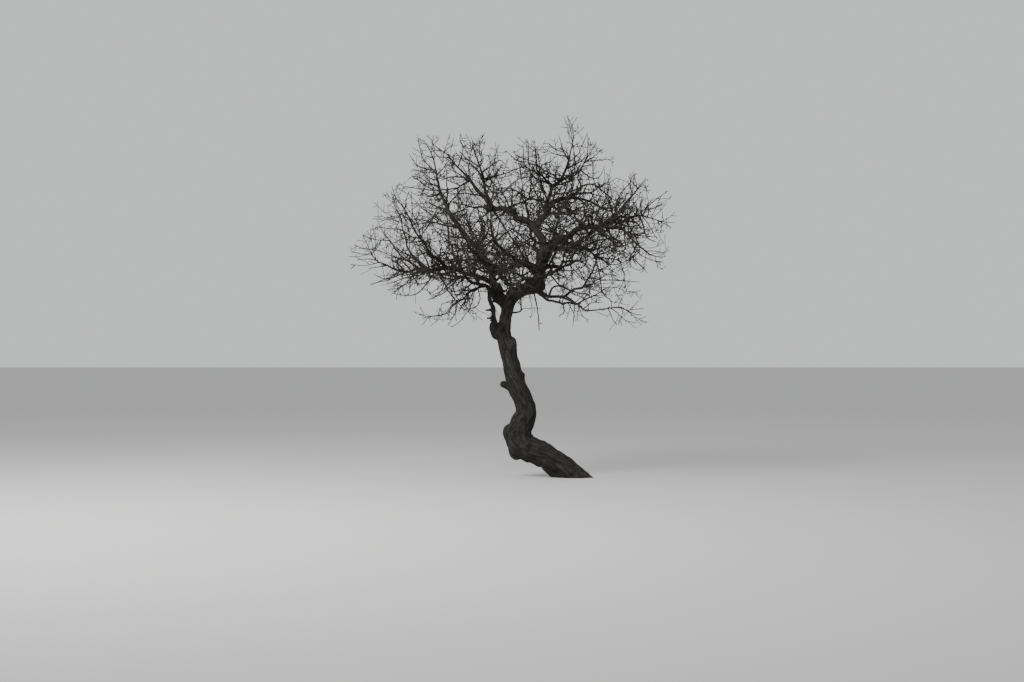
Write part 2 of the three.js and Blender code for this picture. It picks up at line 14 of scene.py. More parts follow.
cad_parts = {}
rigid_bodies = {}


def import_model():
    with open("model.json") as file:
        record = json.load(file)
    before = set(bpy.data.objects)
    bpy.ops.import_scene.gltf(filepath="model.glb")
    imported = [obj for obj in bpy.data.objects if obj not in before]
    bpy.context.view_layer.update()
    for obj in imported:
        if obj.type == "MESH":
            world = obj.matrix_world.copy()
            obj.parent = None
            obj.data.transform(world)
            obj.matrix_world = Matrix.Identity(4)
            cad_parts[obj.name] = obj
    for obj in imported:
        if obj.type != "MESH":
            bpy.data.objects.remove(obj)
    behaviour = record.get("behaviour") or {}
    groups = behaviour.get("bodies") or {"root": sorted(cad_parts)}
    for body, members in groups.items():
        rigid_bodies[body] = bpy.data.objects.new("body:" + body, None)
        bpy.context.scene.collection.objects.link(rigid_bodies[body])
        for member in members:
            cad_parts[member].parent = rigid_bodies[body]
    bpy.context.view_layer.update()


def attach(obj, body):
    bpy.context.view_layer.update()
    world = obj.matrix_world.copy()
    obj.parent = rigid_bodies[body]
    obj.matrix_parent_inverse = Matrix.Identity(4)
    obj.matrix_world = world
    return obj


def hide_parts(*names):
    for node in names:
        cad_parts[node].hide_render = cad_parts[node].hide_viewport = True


bl_info = {
    "name": "Dead tree",
    "version": (1, 0, 0),
    "blender": (4, 5, 0),
    "location": "3D View > Sidebar > Dead tree",
    "description": "Bark, boughs and bare twigs of an old dead fruit tree",
    "category": "Object",
}

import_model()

# Driving dimensions of the limbs, the same as in the tree's solids: the gap between a bough's tip and its
# twigs, how far apart a bough's points stand, how taut a course is, the trunk's points for each station, and
# how boughs and snags narrow
GAP = 0.0003
BOUGH_STEP = 0.155
TENSION = 0.5
TRUNK_STEPS = 2
TAPER_POWER = 0.85
SNAG_TAPER = 0.6
# The collar at a bough's root, a bough's wander off its course, and the lobes and ribs round the trunk
COLLAR = {"swell": 0.35, "run": 1.1, "most": 0.92}
WANDER = {"share": 0.9, "most": 0.024, "wave": 0.43, "spread": 0.37}
FLARE = {"swell": 0.08, "height": 0.13, "lobes": 5, "depth": 0.07, "turn": 0.6}
FLUTES = {"count": 3, "depth": 0.05, "twist": 2.2}
SEEDS = {"bough": 101, "leader": 501, "limb": 901}
FULL_TURN = 2 * math.pi
GOLDEN_TURN = math.radians(137.5)
UP = Vector((0, 0, 1))
# A direction that no limb takes, how upright a heading is too near UP, and the points along a curve
SLANTED = Vector((0.31, 0.83, 0.46))
STEEP = 0.9
CURVE_SAMPLES = 200
# 32 bits, the step of a stream of numbers, and how a child's seed follows from its parent's
WORD = 0xFFFFFFFF
STREAM_STEP = 0x6D2B79F5
CHILD_SEED = (31, 7919, 17)

# The trunk's stations: x, y, z and radius
TRUNK = (
    (0.26, 0, -0.22, 0.17),
    (-0.1, 0, 0.095, 0.178),
    (-0.39, 0.01, 0.3, 0.17),
    (-0.665, 0.03, 0.42, 0.184),
    (-0.8, 0.04, 0.58, 0.192),
    (-0.742, 0.03, 0.77, 0.158),
    (-0.672, 0, 0.93, 0.148),
    (-0.703, -0.01, 1.09, 0.138),
    (-0.79, -0.03, 1.28, 0.133),
    (-0.862, -0.01, 1.49, 0.126),
    (-0.922, 0, 1.73, 0.116),
    (-0.98, 0.01, 1.93, 0.112),
    (-1.005, 0.01, 2.09, 0.102),
    (-0.985, 0, 2.25, 0.086),
    (-0.957, 0, 2.39, 0.08),
    (-0.938, -0.01, 2.52, 0.084),
    (-0.915, -0.025, 2.605, 0.07),
)
# Burls fused to the trunk: middle and half size in x, y and z
TRUNK_BURLS = (
    ((-0.885, 0, 1.915), (0.072, 0.084, 0.11)),
    ((-1.163, -0.02, 2.17), (0.052, 0.06, 0.085)),
    ((-1.112, 0, 2.09), (0.078, 0.074, 0.095)),
    ((-0.905, 0.05, 0.64), (0.112, 0.13, 0.13)),
    ((-0.825, 0.04, 0.385), (0.1, 0.122, 0.138)),
    ((-0.745, -0.015, 1.478), (0.042, 0.036, 0.04)),
    ((-1.01, -0.042, 1.345), (0.046, 0.048, 0.044)),
)
# The stub of a lost limb on the trunk
TRUNK_STUB = {"from": (-0.89, -0.02, 1.3), "to": (-1, -0.045, 1.342), "girth": (0.07, 0.036)}
# Boughs in growing order: the limb that each leaves, the share of that limb's length where it does, its
# radius at its root and at its tip, and the stations that it passes, the last of them its tip
BOUGHS = {
    "right_main": (
        "trunk", 0.95, (0.096, 0.062), (-0.78, -0.04, 2.7), (-0.6, -0.07, 2.74), (-0.5, -0.09, 2.89),
        (-0.45, -0.07, 3.1), (-0.43, -0.06, 3.3),
    ),
    "left_main": (
        "trunk", 0.91, (0.06, 0.011), (-1.09, 0.04, 2.68), (-1.15, 0.09, 2.86), (-1.22, 0.14, 3.08),
        (-1.37, 0.23, 3.31), (-1.62, 0.39, 3.6), (-1.85, 0.58, 3.95), (-1.98, 0.72, 4.3),
        (-2.04, 0.81, 4.59),
    ),
    "left_prop": (
        "trunk", 0.72, (0.036, 0.012), (-1.136, -0.03, 2.25), (-1.168, -0.07, 2.39), (-1.176, -0.13, 2.55),
        (-1.262, -0.23, 2.74), (-1.43, -0.38, 2.81), (-1.69, -0.58, 2.88), (-1.97, -0.75, 2.91),
    ),
    "left_level": (
        "left_main", 0.165, (0.036, 0.011), (-1.27, 0.03, 2.86), (-1.57, 0, 2.97), (-1.82, -0.06, 3.02),
        (-2.12, -0.12, 3.01), (-2.44, -0.17, 2.97), (-2.69, -0.2, 3.06),
    ),
    "left_droop": (
        "left_prop", 0.5, (0.016, 0.008), (-1.4, -0.4, 2.71), (-1.58, -0.55, 2.57), (-1.75, -0.72, 2.41),
    ),
    "left_riser_near": (
        "left_level", 0.41, (0.024, 0.01), (-1.88, -0.32, 3.07), (-2.04, -0.58, 3.2), (-2.16, -0.84, 3.38),
        (-2.28, -1.02, 3.6),
    ),
    "left_riser_mid": (
        "left_level", 0.32, (0.02, 0.009), (-1.69, 0.17, 3.14), (-1.8, 0.44, 3.4), (-1.85, 0.7, 3.71),
    ),
    "left_riser_far": (
        "left_level", 0.62, (0.02, 0.008), (-2.31, 0.12, 3.2), (-2.44, 0.32, 3.41), (-2.52, 0.52, 3.71),
    ),
    "centre_far": (
        "right_main", 0.97, (0.058, 0.015), (-0.46, 0.03, 3.47), (-0.56, 0.14, 3.64), (-0.72, 0.26, 3.75),
        (-0.91, 0.41, 3.9), (-1.2, 0.58, 4), (-1.39, 0.72, 4.25), (-1.64, 0.84, 4.55),
    ),
    "right_upper": (
        "right_main", 0.93, (0.052, 0.014), (-0.28, -0.14, 3.37), (-0.1, -0.26, 3.48), (0.11, -0.38, 3.56),
        (0.35, -0.49, 3.61), (0.51, -0.58, 3.64), (0.59, -0.64, 3.76), (0.77, -0.72, 3.96),
    ),
    "top_left": (
        "centre_far", 0.62, (0.026, 0.012), (-1.25, 0.44, 4.14), (-1.31, 0.29, 4.37), (-1.37, 0.14, 4.57),
    ),
    "top_right": (
        "centre_far", 0.2, (0.046, 0.016), (-0.37, 0.17, 3.88), (-0.24, 0.26, 4.02), (-0.07, 0.38, 4.11),
        (0.16, 0.58, 4.19),
    ),
    "leader": (
        "top_right", 0.25, (0.032, 0.01), (-0.39, 0.03, 4.01), (-0.26, -0.06, 4.2), (-0.19, -0.12, 4.33),
        (-0.08, -0.14, 4.49), (-0.04, -0.14, 4.69),
    ),
    "top_centre": (
        "leader", 0.46, (0.018, 0.009), (-0.38, -0.2, 4.27), (-0.51, -0.38, 4.37), (-0.54, -0.49, 4.55),
    ),
    "top_right_up": (
        "leader", 0.5, (0.018, 0.009), (-0.08, -0.06, 4.35), (0.06, 0.06, 4.43), (0.17, 0.17, 4.58),
    ),
    "right_level": (
        "right_upper", 0.69, (0.026, 0.01), (0.56, -0.33, 3.69), (0.73, -0.06, 3.76), (0.96, 0.14, 3.8),
        (1.12, 0.3, 3.8),
    ),
    "right_droop": (
        "right_upper", 0.66, (0.024, 0.01), (0.66, -0.81, 3.49), (0.79, -0.96, 3.37), (0.92, -1.04, 3.22),
    ),
    "right_far": (
        "right_main", 0.86, (0.032, 0.01), (-0.24, 0.32, 3.33), (0.01, 0.7, 3.44), (0.27, 1.04, 3.38),
        (0.52, 1.33, 3.25),
    ),
    "front_high": (
        "right_main", 0.82, (0.032, 0.01), (-0.39, -0.58, 3.24), (-0.32, -1.1, 3.39), (-0.28, -1.51, 3.54),
    ),
    "right_stub": ("right_main", 0.72, (0.031, 0.025), (-0.35, -0.14, 3.02), (-0.165, -0.23, 3.03)),
    "back_high": (
        "right_main", 0.75, (0.036, 0.011), (-0.53, 0.5, 3.34), (-0.59, 1.02, 3.64), (-0.65, 1.4, 4.02),
    ),
    "back_right_low": (
        "right_main", 0.6, (0.031, 0.01), (-0.35, 0.52, 2.96), (-0.12, 1.13, 3.11), (0.1, 1.62, 3.24),
    ),
    "left_stub": (
        "right_main", 0.64, (0.05, 0.044), (-0.6, -0.13, 3.01), (-0.715, -0.165, 3.062),
        (-0.826, -0.19, 3.095),
    ),
    "centre_near": (
        "left_stub", 0.7, (0.026, 0.011), (-0.86, -0.48, 3.14), (-1.01, -0.8, 3.23), (-1.14, -1.11, 3.35),
        (-1.17, -1.33, 3.56),
    ),
    "right_low": (
        "right_main", 0.42, (0.024, 0.01), (-0.41, -0.19, 2.64), (-0.26, -0.38, 2.59), (-0.04, -0.67, 2.65),
        (0.17, -0.9, 2.8), (0.27, -1.04, 3.04),
    ),
    "right_low_out": (
        "right_low", 0.39, (0.015, 0.007), (-0.04, -0.74, 2.51), (0.17, -0.99, 2.38), (0.48, -1.25, 2.4),
    ),
    "right_low_far": (
        "right_main", 0.38, (0.02, 0.008), (-0.37, 0.26, 2.59), (-0.17, 0.58, 2.56), (0.12, 0.96, 2.57),
        (0.47, 1.33, 2.75),
    ),
    "front_low": (
        "right_main", 0.3, (0.032, 0.01), (-0.65, -0.61, 2.81), (-0.76, -1.22, 2.84), (-0.87, -1.71, 2.86),
    ),
    "back_low": (
        "right_main", 0.2, (0.036, 0.01), (-0.92, 0.45, 2.8), (-1.04, 1.07, 2.97), (-1.16, 1.6, 3.11),
    ),
    "front_left": (
        "left_main", 0.23, (0.031, 0.01), (-1.22, -0.42, 3.06), (-1.35, -1.04, 3.11), (-1.48, -1.48, 3.26),
    ),
    "back_left": (
        "left_main", 0.28, (0.033, 0.01), (-1.37, 0.68, 3.32), (-1.53, 1.13, 3.52), (-1.73, 1.55, 3.84),
    ),
}
# Burls on the boughs: share of the bough's length, sideways shift and half size in x, y and z
BOUGH_BURLS = {
    "right_main": (
        (0.4, (0.01, -0.02, 0.01), (0.128, 0.118, 0.128)),
        (0.5, (0.045, 0.01, -0.05), (0.088, 0.09, 0.084)),
        (0.42, (0.09, -0.04, -0.09), (0.046, 0.05, 0.044)),
        (0.78, (0.025, -0.01, -0.01), (0.072, 0.076, 0.088)),
    ),
    "left_main": ((0.1, (-0.025, 0, 0), (0.088, 0.084, 0.14)),),
    "left_stub": ((0.9, (0, 0, -0.008), (0.054, 0.05, 0.058)),),
    "centre_far": ((0.63, (-0.02, -0.04, -0.02), (0.066, 0.06, 0.064)),),
}
# Snags, short broken stubs on a bough: share of its length, heading, length and root radius
SNAGS = {
    "left_prop": (
        (0.257, (-1, -0.1, 0.02), 0.115, 0.018),
        (0.189, (-1, -0.25, -0.02), 0.108, 0.017),
        (0.163, (-0.9, -0.5, 0.1), 0.08, 0.014),
    ),
    "left_main": ((0.3, (0.5, -0.6, 0.7), 0.1, 0.017),),
    "centre_far": ((0.34, (0.1, -0.8, 0.6), 0.11, 0.018),),
    "right_upper": ((0.515, (-0.1, -0.4, 0.9), 0.115, 0.024),),
}
# Twig masses, one at the tip of a bough: the furthest tip, and how wide the twigs spread
MASSES = {
    "left_main": ((-2.3, 0.9, 5.06), 0.46),
    "left_prop": ((-2.5, -1.23, 2.63), 0.4),
    "left_level": ((-3.04, -0.14, 3.5), 0.54),
    "left_droop": ((-2.16, -1.16, 2.32), 0.27),
    "left_riser_near": ((-2.52, -1.28, 4.06), 0.43),
    "left_riser_mid": ((-2.28, 1.3, 4.2), 0.52),
    "left_riser_far": ((-2.9, 0.87, 3.79), 0.45),
    "centre_far": ((-2.12, 1.16, 5.04), 0.4),
    "right_upper": ((0.96, -0.9, 4.19), 0.45),
    "top_left": ((-1.46, -0.12, 4.87), 0.5),
    "top_right": ((0.64, 1.09, 4.51), 0.52),
    "leader": ((-0.085, -0.12, 5.215), 0.27),
    "top_centre": ((-0.56, -0.64, 4.78), 0.52),
    "top_right_up": ((0.35, 0.26, 4.91), 0.42),
    "right_level": ((1.52, 0.435, 3.73), 0.44),
    "right_droop": ((1.2, -1.3, 3.1), 0.34),
    "right_far": ((1.13, 1.81, 3.3), 0.45),
    "front_high": ((-0.23, -2.03, 3.97), 0.62),
    "back_high": ((-0.76, 1.95, 4.79), 0.64),
    "back_right_low": ((0.43, 2.2, 3.64), 0.58),
    "centre_near": ((-1.3, -1.62, 4.09), 0.56),
    "right_low": ((0.6, -1.52, 3.3), 0.52),
    "right_low_out": ((0.88, -1.62, 2.2), 0.3),
    "right_low_far": ((1.1, 1.74, 2.76), 0.42),
    "front_low": ((-0.98, -2.32, 2.96), 0.54),
    "back_low": ((-1.39, 2.25, 3.28), 0.54),
    "front_left": ((-1.69, -2.1, 3.6), 0.62),
    "back_left": ((-2.14, 2.08, 4.37), 0.62),
}

# The solids' growing rule: one leading shoot at each bough's tip, its side twigs and their spurs
LEADER = {"steps": 4, "tip": 0.004, "crook": 0.16, "steer": 0.5}
ORDERS = (
    {
        "count": 6, "steps": 2, "first": 0.08, "last": 0.95, "lean": (38, 72),
        "share": 0.95, "rise": 0.14, "crook": 0.2, "thinning": 0.68, "tip": 0.0028,
    },
    {
        "count": 2, "steps": 1, "first": 0.25, "last": 0.92, "lean": (40, 75),
        "share": 0.48, "rise": 0.1, "crook": 0, "thinning": 0.5, "tip": 0.0016,
    },
)
HABIT = {"place": 0.6, "turn": 0.9, "shortest": 0.65, "longest": 1.15, "at_root": 1.12, "at_tip": 0.5}
SHORTER = (1, 0.75, 0.5)
ROOM = {"between": 0.016, "limb": 0.006, "least": 0.07, "ahead": 1.04}
SAMPLES = 4


def product(a, b):
    """The low 32 bits of a product."""
    return (a * b) & WORD


def stream(seed):
    """A repeatable stream of numbers from 0 to 1."""
    state = seed & WORD

    def draw():
        nonlocal state
        state = (state + STREAM_STEP) & WORD
        mixed = product(state ^ (state >> 15), state | 1)
        mixed ^= (mixed + product(mixed ^ (mixed >> 7), mixed | 61)) & WORD
        return (mixed ^ (mixed >> 14)) / (WORD + 1)

    return draw


def child_seed(seed, index):
    by_seed, by_index, more = CHILD_SEED
    return (seed * by_seed + index * by_index + more) & WORD


def jolt(draw):
    return Vector((draw() - 0.5, draw() - 0.5, draw() - 0.5))


def between(low, high, share):
    return low + (high - low) * share


class Path:
    """A limb or a twig: a list of points with a radius at each."""

    def __init__(self, points, radii, seed=0, kind=None, tint=0, parent=None, share=0):
        self.points = [Vector(point) for point in points]
        self.radii = [float(radius) for radius in radii]
        self.seed, self.kind, self.tint = seed, kind, tint
        self.parent, self.share = parent, share

    def step_at(self, share):
        place = min(max(share, 0), 1) * (len(self.points) - 1)
        index = min(int(place), len(self.points) - 2)
        return index, place - index

    def point(self, share):
        index, rest = self.step_at(share)
        return self.points[index].lerp(self.points[index + 1], rest)

    def radius(self, share):
        index, rest = self.step_at(share)
        return between(self.radii[index], self.radii[index + 1], rest)

    def heading(self, share):
        index, _ = self.step_at(share)
        return (self.points[index + 1] - self.points[index]).normalized()

    def length(self):
        return run_lengths(self.points)[-1]


def run_lengths(points):
    """How far along the path each of its points lies."""
    steps = np.linalg.norm(np.diff(np.array(points), axis=0), axis=1)
    return np.concatenate([[0], np.cumsum(steps)])


def curve_points(stations, shares):
    """Points at shares of a smooth curve that runs through the stations."""
    stations = np.array(stations, float)
    padded = np.vstack([2 * stations[0] - stations[1], stations, 2 * stations[-1] - stations[-2]])
    place = np.asarray(shares, float) * (len(stations) - 1)
    index = np.minimum(place.astype(int), len(stations) - 2)
    t = (place - index)[:, None]
    before, start, end, after = (padded[index + k] for k in range(4))
    leave, arrive = TENSION * (end - before), TENSION * (after - start)
    near_start = (2 * t**3 - 3 * t**2 + 1) * start + (t**3 - 2 * t**2 + t) * leave
    return near_start + (3 * t**2 - 2 * t**3) * end + (t**3 - t**2) * arrive


def course_points(stations, seed, radius):
    """A smooth course through the stations, with a seeded wander that fades out at both ends."""
    shares = np.linspace(0, 1, CURVE_SAMPLES + 1)
    runs = run_lengths(curve_points(stations, shares))
    count = round(runs[-1] / BOUGH_STEP)
    points = curve_points(stations, np.interp(np.linspace(0, runs[-1], count + 1), runs, shares))
    draw = stream(seed)
    phases = np.array([draw() * FULL_TURN for _ in range(3)])
    swing = min(WANDER["share"] * radius, WANDER["most"])
    fade = np.sin(np.pi * np.arange(count + 1) / count)[:, None]
    wave = (FULL_TURN * run_lengths(points) / WANDER["wave"])[:, None]
    return points + swing * fade * np.sin(wave * (1 + WANDER["spread"] * np.arange(3)) + phases)


def trunk_path():
    count = (len(TRUNK) - 1) * TRUNK_STEPS
    shares = np.linspace(0, 1, count + 1)
    points = curve_points([station[:3] for station in TRUNK], shares)
    radii = np.interp(shares * (len(TRUNK) - 1), range(len(TRUNK)), [station[3] for station in TRUNK])
    return Path(points, radii)


def taper(runs, girth, parent_radius):
    """Radii along a bough that narrows from a collar at its root to its tip."""
    thick, thin = girth
    runs = np.asarray(runs)
    plain = thin + (thick - thin) * np.power(1 - runs / runs[-1], TAPER_POWER)
    collar = COLLAR["swell"] * np.exp(-np.maximum(runs - parent_radius, 0) / (COLLAR["run"] * thick))
    return np.minimum(plain * (1 + collar), np.maximum(parent_radius * COLLAR["most"], plain))


def bough_path(parent, at, girth, via, seed):
    """A bough's path starts on its parent's middle line."""
    points = course_points([parent.point(at), *via], seed, girth[0])
    return Path(points, taper(run_lengths(points), girth, parent.radius(at)), seed, "bough")


def leader_path(bough, reach, seed):
    """The leading shoot of a mass goes on from its bough's tip and steers to the furthest tip."""
    draw = stream(seed)
    heading = bough.heading(1)
    goal = Vector(reach)
    points = [bough.point(1) + heading * GAP]
    step = (points[0] - goal).length / LEADER["steps"]
    points.append(points[0] + heading * step)
    for i in range(2, LEADER["steps"]):
        wish = (goal - points[-1]).normalized()
        steer = between(LEADER["steer"], 1, i / LEADER["steps"])
        heading = heading.lerp(wish, steer).normalized() + jolt(draw) * 2 * LEADER["crook"]
        heading.normalize()
        points.append(points[-1] + heading * step)
    points.append(goal)
    radii = np.linspace(bough.radius(1), LEADER["tip"], len(points))
    return Path(points, radii, seed, "leader")


def side_shoot(parent, order, index, length):
    """A shoot placed and turned by its index: how it grows at a share of its full length."""
    seed = child_seed(parent.seed + order.get("salt", 0), index)
    draw = stream(seed)
    place = (index + 0.5 + (draw() - 0.5) * HABIT["place"]) / order["count"]
    share = between(order["first"], order["last"], place)
    along = parent.heading(share)
    first_turn = stream(parent.seed + order.get("salt", 0))() * FULL_TURN
    turn = first_turn + index * GOLDEN_TURN + (draw() - 0.5) * HABIT["turn"]
    lean = math.radians(between(*order["lean"], draw()))
    across = (SLANTED - along * SLANTED.dot(along)).normalized()
    across.rotate(Matrix.Rotation(turn, 3, along))
    heading = along * math.cos(lean) + across * math.sin(lean)
    drawn = between(HABIT["shortest"], HABIT["longest"], draw())
    full = length * drawn * between(HABIT["at_root"], HABIT["at_tip"], share)
    root = parent.point(share)
    bends = [jolt(draw) for _ in range(order["steps"])]

    def grow(shorter):
        made, now = [root], heading.copy()
        for bend in bends:
            made.append(made[-1] + now * (full * shorter / order["steps"]))
            now = (now + UP * order["rise"] + bend * 2 * order["crook"]).normalized()
        return made

    thick = parent.radius(share) * order["thinning"]
    radii = [between(thick, order["tip"], i / order["steps"]) for i in range(order["steps"] + 1)]
    return grow, radii, seed, full, share


class Reach:
    """The straight stretches of several paths, and how far points lie from each path."""

    def __init__(self, paths):
        counts = [len(path.points) - 1 for path in paths]
        self.first = np.concatenate([[0], np.cumsum(counts)[:-1]])
        self.owner = np.repeat(np.arange(len(paths)), counts)
        self.start = np.array([p for path in paths for p in path.points[:-1]])
        self.step = np.array([p for path in paths for p in path.points[1:]]) - self.start
        self.square = (self.step**2).sum(1)
        self.radius = np.array([max(pair) for path in paths for pair in zip(path.radii, path.radii[1:])])

    def distances(self, points):
        offset = np.array(points)[:, None] - self.start
        share = np.clip((offset * self.step).sum(2) / self.square, 0, 1)
        return np.linalg.norm(offset - share[..., None] * self.step, axis=2)

    def to_paths(self, points):
        return np.minimum.reduceat(self.distances(points), self.first, axis=1)

    def clear(self, points):
        """Whether every point is clear of the nearest stretch of each limb."""
        near = self.distances(points)
        nearest = near <= np.minimum.reduceat(near, self.first, axis=1)[:, self.owner]
        return not (nearest & (near <= self.radius * (1 + COLLAR["swell"]) + ROOM["limb"])).any()


class Space:
    """A mass keeps to the ellipsoid about its leading shoot, on its own side of the other shoots."""

    def __init__(self, own, spread, number, leaders, limbs):
        axis = own.points[-1] - own.points[0]
        self.middle = np.array(own.points[0] + axis / 2)
        self.half = axis.length / 2 * ROOM["ahead"]
        self.axis = np.array(axis.normalized())
        self.spread, self.number, self.leaders, self.limbs = spread, number, leaders, limbs

    def level(self, points):
        """0 at the ellipsoid's middle and 1 on its skin."""
        offset = np.array(points) - self.middle
        along = offset @ self.axis
        around = np.linalg.norm(offset - along[:, None] * self.axis, axis=1)
        return (along / self.half) ** 2 + (around / self.spread) ** 2

    def holds(self, points):
        if (self.level(points) > 1).any():
            return False
        home = self.leaders.to_paths(points)
        own = home[:, self.number].copy()
        home[:, self.number] = np.inf
        return (home.min(1) >= own + ROOM["between"]).all() and self.limbs.clear(points)


def tested(points):
    """Places along a twig, from a little way out of its root."""
    shares = [(i, s / SAMPLES) for i in range(len(points) - 1) for s in range(1 if i else 2, SAMPLES + 1)]
    return [points[i].lerp(points[i + 1], share) for i, share in shares]


def grow_mass(leader, space):
    """The twigs that the solids have too: side shoots on the leading shoot, and spurs on those."""
    made = []

    def branch(parent, depth, length):
        order = ORDERS[depth]
        for index in range(order["count"]):
            grow, radii, seed, full, share = side_shoot(parent, order, index, length)
            points = next((p for p in map(grow, SHORTER) if space.holds(tested(p))), None)
            if points is None or (points[0] - points[-1]).length < ROOM["least"]:
                continue
            twig = Path(points, radii, seed, ("side", "spray")[depth], 0, parent, share)
            made.append(twig)
            if depth + 1 < len(ORDERS):
                branch(twig, depth + 1, full * ORDERS[depth + 1]["share"])

    branch(leader, 0, space.spread * ORDERS[0]["share"])
    return made


# How a place in the picture stands for a place in the frame, at the trunk's distance
PICTURE = {"middle": 512, "horizon": 366.7, "metres": 0.0145, "distance": 20.7, "left": -0.885, "eye": 1.6}

